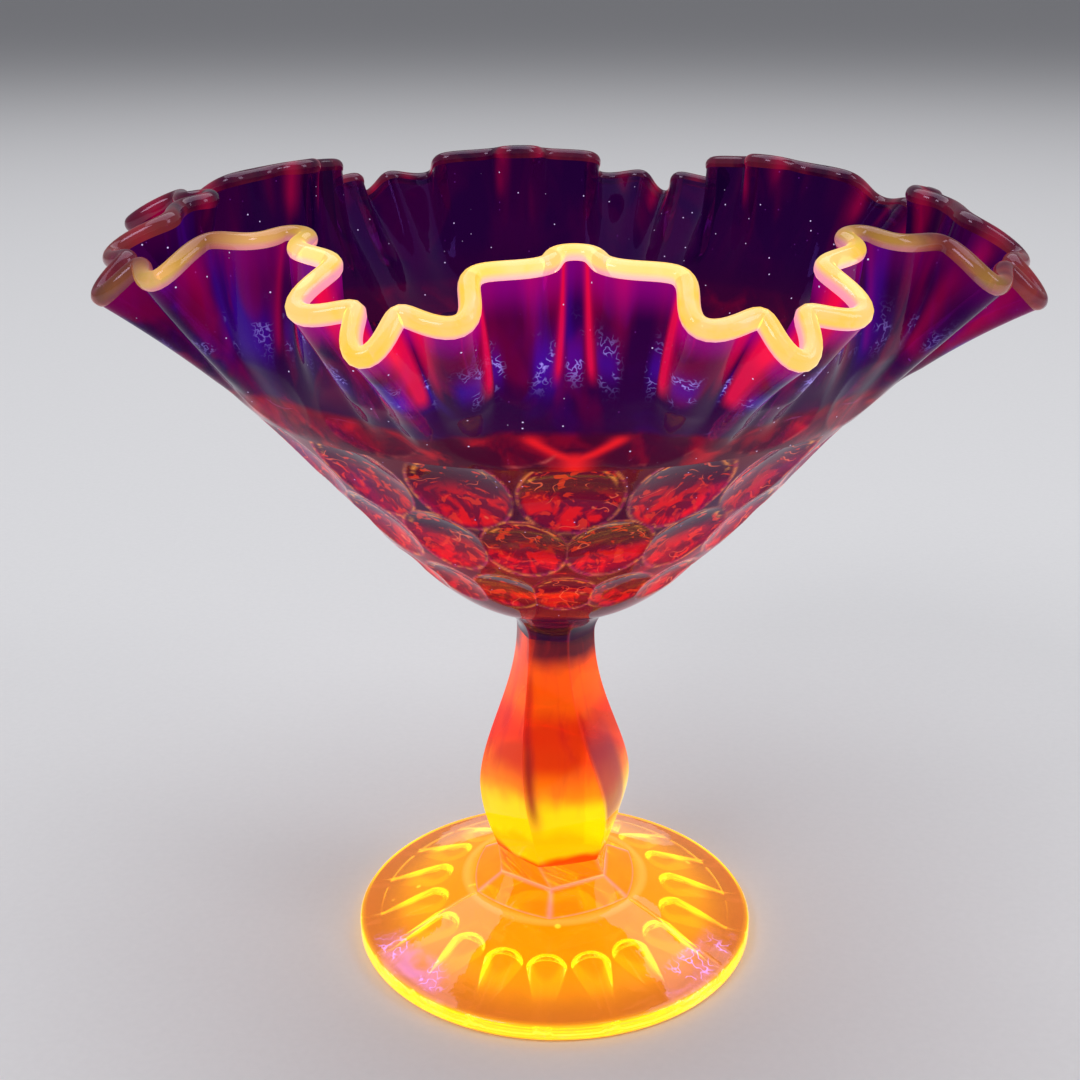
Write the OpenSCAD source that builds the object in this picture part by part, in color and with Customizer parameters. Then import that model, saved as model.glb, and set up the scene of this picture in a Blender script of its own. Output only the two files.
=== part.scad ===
// Stemmed glass dish with a thumbprint bowl and a double-crimped rim.
// Millimetres, +Z up, the foot rests on z = 0.
// Angles run from the front (-Y) towards the right (+X).

/* [Foot] */
// Diameter of the foot
foot_d = 90; // [70:1:120]
// Height of the upright edge of the foot
foot_edge_h = 3.8; // [2.5:0.1:6]
// Radius of the fire-polished corners of the edge
foot_edge_round = 0.9; // [0.4:0.1:1.2]
// Height of the domed top where the plinth stands
foot_h = 12.5; // [10:0.5:18]
// Diameter of the flat round seat for the plinth
seat_d = 40; // [38:0.5:50]
// Width of the flat ring the dish rests on
rest_ring_w = 4.5; // [3:0.5:8]
// Height of the hollow under the middle of the foot
hollow_h = 6.6; // [4:0.2:8]
// Number of petals pressed into the underside
petal_count = 18; // [8:1:24]
// Turn of the petal ring
petal_turn = -4; // [-30:1:30]
// Radius of the tool that presses a petal
petal_r = 5.6; // [3:0.1:8]
// Depth of a petal at its inner end
petal_depth = 1.7; // [0.6:0.1:2.5]
// Distance from the axis to the round end of a petal
petal_reach = 27; // [24:0.5:32]
// Distance from the axis to where a petal fades out
petal_end = 36; // [32:0.5:38]

/* [Plinth] */
// Height of the sloping six-sided step
step_h = 3.7; // [2:0.1:8]
// Ledge of the foot's seat left clear round the step
step_ledge = 0.5; // [0.5:0.1:4]
// Height of the upright collar above the step
collar_h = 5.3; // [3:0.1:10]
// Corner-to-corner size of the collar
collar_d = 26.6; // [22:0.2:32]
// Turn of the six corners of the step
plinth_turn = -4; // [-30:1:30]
// Twist of the collar over its height
collar_twist = -12; // [-20:1:20]

/* [Stem] */
// Height of the baluster
stem_h = 52.5; // [40:0.5:80]
// Corner-to-corner size at the widest place
belly_d = 34; // [26:0.5:44]
// Widest place as a share of the height
belly_at = 0.3; // [0.2:0.01:0.5]
// Corner-to-corner size of the neck
neck_d = 17.2; // [13:0.2:22]
// Twist of the six panels over the height
stem_twist = -26; // [-40:1:40]
// How round the panels are, 0 flat and 1 round
panel_bulge = 0.22; // [0.05:0.01:0.6]

/* [Neck flare] */
// Height of the flare that carries the bowl
flare_h = 8; // [5:0.5:14]
// Diameter of the flare where it meets the bowl
flare_d = 29; // [24:0.5:34]

/* [Bowl] */
// Height of the thumbprint bowl
bowl_h = 48; // [36:1:64]
// Outside diameter of the bowl at its top
bowl_d = 127; // [100:1:160]
// Ledge of the bowl's seat left clear round the flare
bowl_ledge = 1; // [0.5:0.1:3]
// Level wall thickness at the top of the bowl
bowl_wall = 6.2; // [4:0.2:9]
// Thickness of the glass in the middle of the bowl
bowl_floor = 6; // [4:0.5:10]
// Thumbprints in each row
print_count = 18; // [8:1:24]
// Turn of the first row of thumbprints
print_turn = 2; // [-20:1:20]
// Radius of the tool for the lowest row
print_low_r = 30; // [20:1:45]
// Radius of the tool for the highest row
print_high_r = 44; // [30:1:60]
// Depth of the thumbprints in the lowest row
print_low_depth = 1.2; // [0.6:0.1:2]
// Depth of the thumbprints in the highest row
print_high_depth = 1.6; // [0.6:0.1:2.2]

/* [Crimped skirt] */
// Length of the wall from the bowl to the lip
skirt_len = 36.5; // [26:0.2:50]
// Glass thickness at the lip
skirt_wall = 3; // [2:0.1:4]
// Number of lobes round the rim
lobe_count = 8; // [4:1:10]
// Number of small crimps in each lobe
crimps_per_lobe = 5; // [3:1:7]
// Place of the first valley between two lobes
valley_turn = 21.4; // [0:0.1:45]
// Mean lean of the wall away from upright
lean_mean = 26.8; // [15:0.1:40]
// How far the lean swings between lobes and valleys
lean_swing = 17.4; // [5:0.1:25]
// Extra lean of a small crimp
crimp_lean = 4.8; // [1:0.1:8]
// Sideways fold of a small crimp
crimp_fold = 2; // [0:0.1:3]
// How closely the crimps crowd into the valleys
crimp_crowd = 50; // [0:5:90]
// Uneven spacing left by the hand crimping
hand_drift = 5.1; // [0:0.1:6]
// Uneven lean left by the hand crimping
hand_lean = 2.6; // [0:0.1:5]

/* [Lip] */
// How far the rounded bead stands out from the wall
bead_swell = 0.25; // [0.1:0.05:0.8]

/* [Hidden] */
step_z = foot_h;
collar_z = step_z + step_h;
stem_z = collar_z + collar_h;
flare_z = stem_z + stem_h;
bowl_z = flare_z + flare_h;
skirt_z = bowl_z + bowl_h;
foot_r = foot_d / 2;
rest_in = foot_r - foot_edge_round - rest_ring_w;
bowl_r = bowl_d / 2;
// The plinth stands on the foot's seat, and the flare fits inside the bowl's seat.
step_d = seat_d - 2 * step_ledge;
bowl_seat_r = flare_d / 2 + bowl_ledge;
bead_r = skirt_wall / 2 + bead_swell;
// The stem begins where the collar ends, and keeps its size there.
stem_turn = plinth_turn + collar_twist;
flare_turn = stem_turn + stem_twist;
// Share of the height by which the baluster falls away faster at first.
belly_ease = 0.85;
panel_steps = 5;
stem_steps = 30;
collar_steps = 4;
flare_steps = 10;
dome_steps = 14;
bowl_steps = 12;
// Places of the three thumbprint rows along the bowl's outline.
print_rows = 3;
print_first = 0.37;
print_pitch = 0.245;
// Slope handles of the bowl's outline at the seat and at the top.
seat_handle = [13, 4];
top_handle = [14.5, 15];
inner_handle = [24, -1];
inner_top_handle = [13.8, 16];
// The hand-made unevenness is smallest and largest at these places.
drift_at = 64;
lean_at = 105;
turns = 280;
skirt_rows = 11;
inner_rows = 7;
bead_steps = 6;
// Share of the crimp left on the flat top of a lobe.
crimp_rest = 0.22;
// How fast the crimps grow towards the lip.
crimp_growth = 2;
// Share of the wall over which the level joint turns square to the wall.
joint_blend = 0.33;
// Half the wall, square to it, as a share of the level wall at the joint.
square_share = 0.36;
// The highest row of thumbprints lies on the low part of the skirt.
rim_print_at = 0.27;
rim_print_tall = 0.24;
rim_print_fill = 0.82;
rim_print_depth = 0.9;
dome_softness = 0.25;
hollow_fullness = 0.8;
step_base_bulge = 0.5;
step_top_bulge = 0.02;
flare_sweep = 1.9;
edge_step = 15;
tool_facets = 48;
round_facets = 180;
print_facets = 120;
nudge = 0.01;

// ---- shared shape helpers ----

function around(r, a, z) = [r * sin(a), -r * cos(a), z];
function mix(a, b, t) = a + (b - a) * t;
function smooth(t) = t * t * (3 - 2 * t);
function unit(v) = v / norm(v);
function curve3(a, b, c, d, t) =
    a * pow(1 - t, 3) + b * 3 * t * pow(1 - t, 2) + c * 3 * t * t * (1 - t) + d * pow(t, 3);

// Radius of a six-sided section at an angle from one of its corners.
function six_r(r, a, bulge) =
    let (off = abs((a % 60) - 30))
    r * mix(cos(30) / cos(off), 1, bulge);

// One closed ring of a six-sided section with its corners at `turn`.
function six_ring(r, turn, bulge, z) =
    [for (i = [0 : 6 * panel_steps - 1])
        let (a = i * 60 / panel_steps)
        around(six_r(r, a, bulge), a + turn, z)];

// Two triangles for the patch a (low left), b (high left), c (high right), d (low right).
function patch(a, b, c, d) = [[a, b, c], [a, c, d]];

// A solid skin over closed rings stacked upwards, with flat ends.
module skin(rings) {
    n = len(rings[0]);
    m = len(rings);
    points = [for (ring = rings) for (p = ring) p];
    sides = [for (j = [0 : m - 2]) for (i = [0 : n - 1])
        let (k = (i + 1) % n)
        for (f = patch(j * n + i, (j + 1) * n + i, (j + 1) * n + k, j * n + k)) f];
    floor_face = [[for (i = [0 : n - 1]) i]];
    top_face = [[for (i = [n - 1 : -1 : 0]) (m - 1) * n + i]];
    polyhedron(points = points, faces = concat(sides, floor_face, top_face));
}

// A closed band: every row in `rows` is a loop, and the last row joins the first.
module band(rows) {
    n = len(rows[0]);
    m = len(rows);
    points = [for (row = rows) for (p = row) p];
    faces = [for (j = [0 : m - 1]) for (i = [0 : n - 1])
        let (k = (i + 1) % n, l = (j + 1) % m)
        for (f = patch(j * n + i, l * n + i, l * n + k, j * n + k)) f];
    polyhedron(points = points, faces = faces);
}

// ---- foot ----

seat_r = seat_d / 2;

function dome_z(r) =
    let (t = (foot_r - foot_edge_round - r) / (foot_r - foot_edge_round - seat_r))
    mix(foot_edge_h, foot_h, mix(t, smooth(t), dome_softness));

function hollow_z(r) = hollow_h * pow(cos(90 * r / rest_in), hollow_fullness);

module foot_section() {
    edge_low = [for (a = [0 : edge_step : 90])
        [foot_r - foot_edge_round * (1 - sin(a)), foot_edge_round * (1 - cos(a))]];
    edge_high = [for (a = [0 : edge_step : 90 - edge_step])
        [foot_r - foot_edge_round * (1 - cos(a)), foot_edge_h - foot_edge_round * (1 - sin(a))]];
    dome = [for (i = [0 : dome_steps])
        let (r = mix(foot_r - foot_edge_round, seat_r, i / dome_steps))
        [r, dome_z(r)]];
    hollow = [for (i = [0 : dome_steps])
        let (r = rest_in * sin(90 * i / dome_steps))
        [r, i == dome_steps ? 0 : hollow_z(r)]];
    polygon(concat([[0, foot_h]], hollow, edge_low, edge_high, dome));
}

module petal() {
    drop = hollow_z(petal_reach) + petal_depth - petal_r;
    fade = hollow_z(petal_end) - petal_r;
    slope = atan((drop - fade) / (petal_end - petal_reach));
    translate([0, -petal_reach, drop]) {
        sphere(r = petal_r, $fn = tool_facets);
        rotate([90 + slope, 0, 0])
            cylinder(r = petal_r, h = foot_r - petal_reach, $fn = tool_facets);
    }
}

module foot() {
    color([0.98, 0.72, 0.1])
    difference() {
        rotate_extrude($fn = round_facets)
            foot_section();
        for (i = [0 : petal_count - 1])
            rotate([0, 0, petal_turn + i * 360 / petal_count])
                petal();
    }
}

// ---- plinth ----

module plinth() {
    step_low = six_ring(step_d / 2, plinth_turn, step_base_bulge, step_z);
    step_high = six_ring(collar_d / 2, plinth_turn, step_top_bulge, collar_z);
    collar = [for (i = [1 : collar_steps])
        let (t = i / collar_steps)
        six_ring(collar_d / 2, mix(plinth_turn, stem_turn, t),
            mix(step_top_bulge, panel_bulge, t), collar_z + collar_h * t)];
    color([1, 0.5, 0.08])
        skin(concat([step_low, step_high], collar));
}

// ---- stem ----

function stem_r(t) =
    t < belly_at
        ? mix(collar_d, belly_d, sin(90 * t / belly_at)) / 2
        : mix(neck_d, belly_d, (1 + cos(180 * pow((t - belly_at) / (1 - belly_at), belly_ease))) / 2) / 2;

module stem() {
    color([1, 0.36, 0.05])
        skin([for (i = [0 : stem_steps])
            let (t = i / stem_steps)
            six_ring(stem_r(t), mix(stem_turn, flare_turn, smooth(t)), panel_bulge, stem_z + stem_h * t)]);
}

// ---- neck flare ----

module neck_flare() {
    color([0.5, 0.05, 0.2])
        skin([for (i = [0 : flare_steps])
            let (t = i / flare_steps)
            six_ring(mix(neck_d, flare_d, pow(t, flare_sweep)) / 2, flare_turn,
                mix(panel_bulge, 1, smooth(t)), flare_z + flare_h * t)]);
}

// ---- bowl ----

function bowl_point(t) =
    let (low = [bowl_seat_r, bowl_z], high = [bowl_r, skirt_z])
    curve3(low, low + seat_handle, high - top_handle, high, t);

function bowl_inner(t) =
    let (low = [0, bowl_z + bowl_floor], high = [bowl_r - bowl_wall, skirt_z])
    curve3(low, low + inner_handle, high - inner_top_handle, high, t);

// Outward direction of the bowl's outline.
function bowl_out(t) =
    let (step = unit(bowl_point(t + nudge) - bowl_point(t - nudge)))
    [step[1], -step[0]];

module bowl_section() {
    outside = [for (i = [0 : bowl_steps]) bowl_point(i / bowl_steps)];
    inside = [for (i = [bowl_steps : -1 : 0]) bowl_inner(i / bowl_steps)];
    polygon(concat([[0, bowl_z]], outside, inside));
}

module thumbprint(row) {
    share = row / (print_rows - 1);
    t = print_first + print_pitch * row;
    tool = mix(print_low_r, print_high_r, sqrt(share));
    depth = mix(print_low_depth, print_high_depth, share);
    centre = bowl_point(t) + bowl_out(t) * (tool - depth);
    translate([0, -centre[0], centre[1]])
        sphere(r = tool, $fn = print_facets);
}

module bowl() {
    color([0.7, 0.03, 0.12])
    difference() {
        rotate_extrude($fn = round_facets)
            bowl_section();
        for (row = [0 : print_rows - 1])
            for (i = [0 : print_count - 1])
                rotate([0, 0, print_turn + (i + (row % 2) / 2) * 360 / print_count])
                    thumbprint(row);
    }
}

// ---- crimped skirt and lip ----

// Angle from the nearest valley once the hand drift is taken away.
function from_valley(a) = a - valley_turn - hand_drift * (1 - cos(a - drift_at));

// 1 in a valley, -1 in the middle of a lobe.
function valley_wave(a) = cos(lobe_count * from_valley(a));
function valley_side(a) = sin(lobe_count * from_valley(a));

function crimp_wave(a) =
    cos(lobe_count * crimps_per_lobe * from_valley(a) + crimp_crowd * valley_side(a));

function crimp_strength(a) = mix(crimp_rest, 1, (1 + valley_wave(a)) / 2);

function broad_lean(a) = lean_mean + lean_swing * valley_wave(a) + hand_lean * cos(a - lean_at);
function full_lean(a) = broad_lean(a) + crimp_lean * crimp_wave(a) * crimp_strength(a);

function lip_at(lean) = [bowl_r + skirt_len * sin(lean), skirt_z + skirt_len * cos(lean)];

// Middle of the skirt's wall, from v = 0 at the bowl to v = 1 at the lip.
function skirt_mid(a, v) =
    let (
        low = [bowl_r - bowl_wall / 2, skirt_z],
        handle = low + unit(top_handle) * skirt_len / 2,
        broad = low * pow(1 - v, 2) + handle * 2 * v * (1 - v) + lip_at(broad_lean(a)) * v * v,
        grow = pow(v, crimp_growth),
        p = broad + (lip_at(full_lean(a)) - lip_at(broad_lean(a))) * grow,
        shift = crimp_fold * crimp_wave(a) * valley_side(a) * grow
    )
    around(p[0], a + shift, p[1]);

function skirt_along(a, v) = unit(skirt_mid(a, v + nudge) - skirt_mid(a, v - nudge));
function skirt_out(a, v) =
    unit(cross(skirt_mid(a + nudge, v) - skirt_mid(a - nudge, v), skirt_along(a, v)));

// Half the wall as an offset: level at the joint, square to the wall above it.
function half_wall(a, v) =
    let (level = around(bowl_wall / 2, a, 0), square = skirt_out(a, v) * skirt_half(v))
    mix(level, square, smooth(min(1, v / joint_blend)));

function skirt_half(v) = mix(bowl_wall * square_share, skirt_wall / 2, v);

function turn_at(i) = i * 360 / turns;
function skirt_inner(v) =
    [for (i = [0 : turns - 1]) skirt_mid(turn_at(i), v) - half_wall(turn_at(i), v)];
function skirt_outer(v) =
    [for (i = [0 : turns - 1])
        let (a = turn_at(i))
        skirt_mid(a, v) + half_wall(a, v) - skirt_out(a, v) * rim_print(a, v)];

// Depth of the highest thumbprints, staggered from the row below.
function rim_print(a, v) =
    let (
        pitch = 360 / print_count,
        off = a - print_turn - pitch * round((a - print_turn) / pitch - 0.5) - pitch / 2,
        across = off / (pitch / 2 * rim_print_fill),
        up = (v - rim_print_at) / rim_print_tall
    )
    rim_print_depth * max(0, 1 - across * across - up * up);

module skirt() {
    outside = [for (j = [0 : skirt_rows]) skirt_outer(j / skirt_rows)];
    inside = [for (j = [inner_rows : -1 : 0]) skirt_inner(j / inner_rows)];
    color([0.4, 0.05, 0.3])
        band(concat(outside, inside));
}

// The bead starts on the outer edge of the skirt's end and rolls over to its inner edge.
bead_tuck = acos(skirt_wall / 2 / bead_r);

function bead_point(a, roll) =
    skirt_mid(a, 1)
    + skirt_out(a, 1) * bead_r * cos(roll)
    + skirt_along(a, 1) * bead_r * (sin(roll) + sin(bead_tuck));

module lip() {
    rows = [for (j = [0 : bead_steps])
        let (roll = mix(-bead_tuck, 180 + bead_tuck, j / bead_steps))
        [for (i = [0 : turns - 1]) bead_point(turn_at(i), roll)]];
    color([1, 0.82, 0.3])
        band(rows);
}

// ---- assembly ----

foot();
plinth();
stem();
neck_flare();
bowl();
skirt();
lip();
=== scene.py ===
"""A stemmed glass dish: petal foot, twisted stem, thumbprint bowl and a double-crimped rim.

Sizes are millimetres and angles degrees, turned from the front (-Y) towards the right (+X),
until a mesh is made in metres. Every piece is welded face to face with its neighbours.
"""

import logging
import math
from dataclasses import dataclass, field
from enum import Enum
from typing import Any, Callable, Sequence

import bpy
import numpy as np
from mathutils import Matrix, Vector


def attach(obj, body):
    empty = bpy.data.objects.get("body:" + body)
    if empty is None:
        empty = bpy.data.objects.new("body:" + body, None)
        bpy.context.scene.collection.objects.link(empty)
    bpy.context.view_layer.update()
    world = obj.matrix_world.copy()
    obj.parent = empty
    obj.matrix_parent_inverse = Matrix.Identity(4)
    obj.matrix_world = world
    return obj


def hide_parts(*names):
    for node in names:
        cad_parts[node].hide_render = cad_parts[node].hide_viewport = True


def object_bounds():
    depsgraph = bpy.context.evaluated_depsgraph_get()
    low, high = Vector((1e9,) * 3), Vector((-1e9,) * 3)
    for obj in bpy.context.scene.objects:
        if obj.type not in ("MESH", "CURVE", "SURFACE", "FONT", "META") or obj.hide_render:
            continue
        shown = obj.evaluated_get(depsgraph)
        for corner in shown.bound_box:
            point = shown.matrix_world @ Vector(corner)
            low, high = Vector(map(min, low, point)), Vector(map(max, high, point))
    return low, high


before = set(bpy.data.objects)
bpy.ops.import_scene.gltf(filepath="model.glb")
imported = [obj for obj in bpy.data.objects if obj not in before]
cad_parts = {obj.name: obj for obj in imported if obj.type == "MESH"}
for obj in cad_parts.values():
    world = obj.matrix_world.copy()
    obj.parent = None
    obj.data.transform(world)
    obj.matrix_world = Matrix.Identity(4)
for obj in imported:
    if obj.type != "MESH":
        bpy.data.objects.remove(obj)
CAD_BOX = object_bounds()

Array = np.ndarray
Colour = tuple[float, float, float, float]
MM = 0.001
FULL_TURN = 360.0
BODY = "root"
log = logging.getLogger("glass_dish")


# ---- shape helpers ----


def sine(a: Any) -> Any:
    """Sine of an angle in degrees."""
    return np.sin(np.radians(a))


def cosine(a: Any) -> Any:
    """Cosine of an angle in degrees."""
    return np.cos(np.radians(a))


def mix(a: Any, b: Any, t: Any) -> Any:
    """The value a share t of the way from a to b."""
    return a + (b - a) * t


def smooth(t: Any) -> Any:
    """A share eased at both ends."""
    return t * t * (3 - 2 * t)


def ramp(value: Any, low: float, high: float) -> Any:
    """Rises smoothly from 0 at low to 1 at high."""
    return smooth(np.clip((value - low) / (high - low), 0.0, 1.0))


def unit(v: Array) -> Array:
    """Vectors of length one."""
    return v / np.linalg.norm(v, axis=-1, keepdims=True)


def around(r: Any, a: Any, z: Any) -> Array:
    """Points at radius r, angle a and height z.

    Args:
        r: Distance from the axis.
        a: Angle from the front.
        z: Height above the floor.

    Returns:
        An array whose last axis is x, y, z.
    """
    r, a, z = np.broadcast_arrays(*(np.asarray(q, float) for q in (r, a, z)))
    return np.stack([r * sine(a), -r * cosine(a), z], -1)


def curve(ends: Sequence[Sequence[float]], t: Any) -> Array:
    """Points on a cubic Bezier curve.

    Args:
        ends: The four control points.
        t: Shares along the curve.

    Returns:
        An array whose last axis is that of the control points.
    """
    a, b, c, d = (np.asarray(p, float) for p in ends)
    t = np.asarray(t, float)[..., None]
    s = 1 - t
    return a * s**3 + 3 * b * t * s**2 + 3 * c * t**2 * s + d * t**3


def six_sided(r: Any, a: Any, bulge: Any) -> Any:
    """Radius of a six-sided section.

    Args:
        r: Radius at the corners.
        a: Angle from one of the corners.
        bulge: How round the sides are, 0 flat and 1 round.

    Returns:
        The radius at that angle.
    """
    off = np.abs(np.mod(a, 60) - 30)
    return r * mix(cosine(30) / cosine(off), 1, bulge)


def tint(red: int, green: int, blue: int) -> Colour:
    """Turns a display colour of 0 to 255 into a linear one.

    Args:
        red: Red of 0 to 255.
        green: Green of 0 to 255.
        blue: Blue of 0 to 255.

    Returns:
        Linear red, green and blue, and an alpha of 1.
    """
    r, g, b = (
        c / 255 / 12.92 if c <= 10 else ((c / 255 + 0.055) / 1.055) ** 2.4
        for c in (red, green, blue)
    )
    return (r, g, b, 1.0)


# ---- meshes ----


class Face(Enum):
    """Which of a piece's two materials a strip of faces takes."""

    GLASS = 0
    WELD = 1


@dataclass
class Skin:
    """Closed rows of points that become one smooth mesh.

    Args:
        rows: The rows in order, from the underside round the outside to the top or inside.
        strips: The face kind between each row and the next.
        marks: Named values at the points, one row of values for each row of points.
    """

    rows: list[Array] = field(default_factory=list)
    strips: list[Face] = field(default_factory=list)
    marks: dict[str, list[Array]] = field(default_factory=dict)

    def add(self, row: Array, face: Face = Face.GLASS, **values: Any) -> None:
        """Adds a row.

        Args:
            row: The row's points.
            face: The face kind between the row before and this one.
            values: The named values at its points.
        """
        if self.rows:
            self.strips.append(face)
        self.rows.append(row)
        for name, value in values.items():
            before = len(self.rows) - 1 - len(self.marks.setdefault(name, []))
            self.marks[name] += [np.zeros(len(row))] * before
            self.marks[name].append(np.broadcast_to(value, len(row)).astype(float))

    def mesh(self, name: str, start: Face | None, end: Face | None) -> bpy.types.Mesh:
        """Makes the mesh.

        Args:
            name: The mesh's name.
            start: The kind of the flat cap inside the first row, or None where the last
                row joins the first.
            end: The kind of the flat cap inside the last row, or None.

        Returns:
            The mesh, in metres.
        """
        m, n = len(self.rows), len(self.rows[0])
        points = np.concatenate(self.rows)
        strips = list(self.strips)
        tops = list(range(1, m))
        if start is None:
            strips.append(Face.WELD)
            tops.append(0)
        quads, kinds = [], []
        i = np.arange(n)
        k = (i + 1) % n
        for j, (top, kind) in enumerate(zip(tops, strips)):
            quads.append(np.stack([j * n + i, j * n + k, top * n + k, top * n + i], -1))
            kinds += [kind.value] * n
        corners = np.concatenate(quads).reshape(-1)
        sizes = [4] * len(kinds)
        for kind, row, step in ((start, 0, -1), (end, m - 1, 1)):
            if kind is None:
                continue
            hub = len(points)
            points = np.concatenate([points, self.rows[row].mean(0, keepdims=True)])
            low, high = (i, k) if step > 0 else (k, i)
            fan = np.stack([row * n + low, row * n + high, np.full(n, hub)], -1)
            corners = np.concatenate([corners, fan.reshape(-1)])
            kinds += [kind.value] * n
            sizes += [3] * n
        made = bpy.data.meshes.new(name)
        made.vertices.add(len(points))
        made.vertices.foreach_set("co", (points * MM).astype(np.float32).reshape(-1))
        made.loops.add(len(corners))
        made.loops.foreach_set("vertex_index", corners.astype(np.int32))
        starts = np.concatenate([[0], np.cumsum(sizes)[:-1]])
        made.polygons.add(len(sizes))
        made.polygons.foreach_set("loop_start", starts.astype(np.int32))
        made.polygons.foreach_set("material_index", np.asarray(kinds, np.int32))
        made.update(calc_edges=True)
        made.polygons.foreach_set("use_smooth", np.asarray(kinds) == Face.GLASS.value)
        self._cut_creases(made, np.asarray(kinds))
        for name_, values in self.marks.items():
            values = values + [np.zeros(n)] * (m - len(values))
            data = np.concatenate(values + [np.zeros(len(points) - m * n)])
            layer = made.attributes.new(name_, "FLOAT", "POINT")
            layer.data.foreach_set("value", data.astype(np.float32))
        made.validate()
        return made

    @staticmethod
    def _cut_creases(made: bpy.types.Mesh, kinds: Array) -> None:
        """Marks the edges of the welds as sharp, so that they don't bend the glass's shading.

        Args:
            made: The mesh.
            kinds: Each face's kind.
        """
        loops = np.zeros(len(made.loops), np.int32)
        made.loops.foreach_get("edge_index", loops)
        sizes = np.zeros(len(made.polygons), np.int32)
        made.polygons.foreach_get("loop_total", sizes)
        of_loop = np.repeat(kinds, sizes)
        weld = np.zeros(len(made.edges), bool)
        glass = np.zeros(len(made.edges), bool)
        weld[loops[of_loop == Face.WELD.value]] = True
        glass[loops[of_loop == Face.GLASS.value]] = True
        layer = made.attributes.new("sharp_edge", "BOOLEAN", "EDGE")
        layer.data.foreach_set("value", weld & glass)


def place(
    mesh: bpy.types.Mesh, node: str, slot: str, glass: bpy.types.Material
) -> bpy.types.Object:
    """Puts a piece where its CAD node is.

    Args:
        mesh: The piece's mesh.
        node: The CAD node that it stands for.
        slot: The record's material slot, which is not used.
        glass: The piece's glass.

    Returns:
        The new object.
    """
    piece = bpy.data.objects.new(mesh.name, mesh)
    bpy.context.scene.collection.objects.link(piece)
    mesh.materials.append(glass)
    mesh.materials.append(weld_material())
    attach(piece, BODY)
    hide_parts(node)
    return piece


# ---- shader nodes ----


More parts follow.
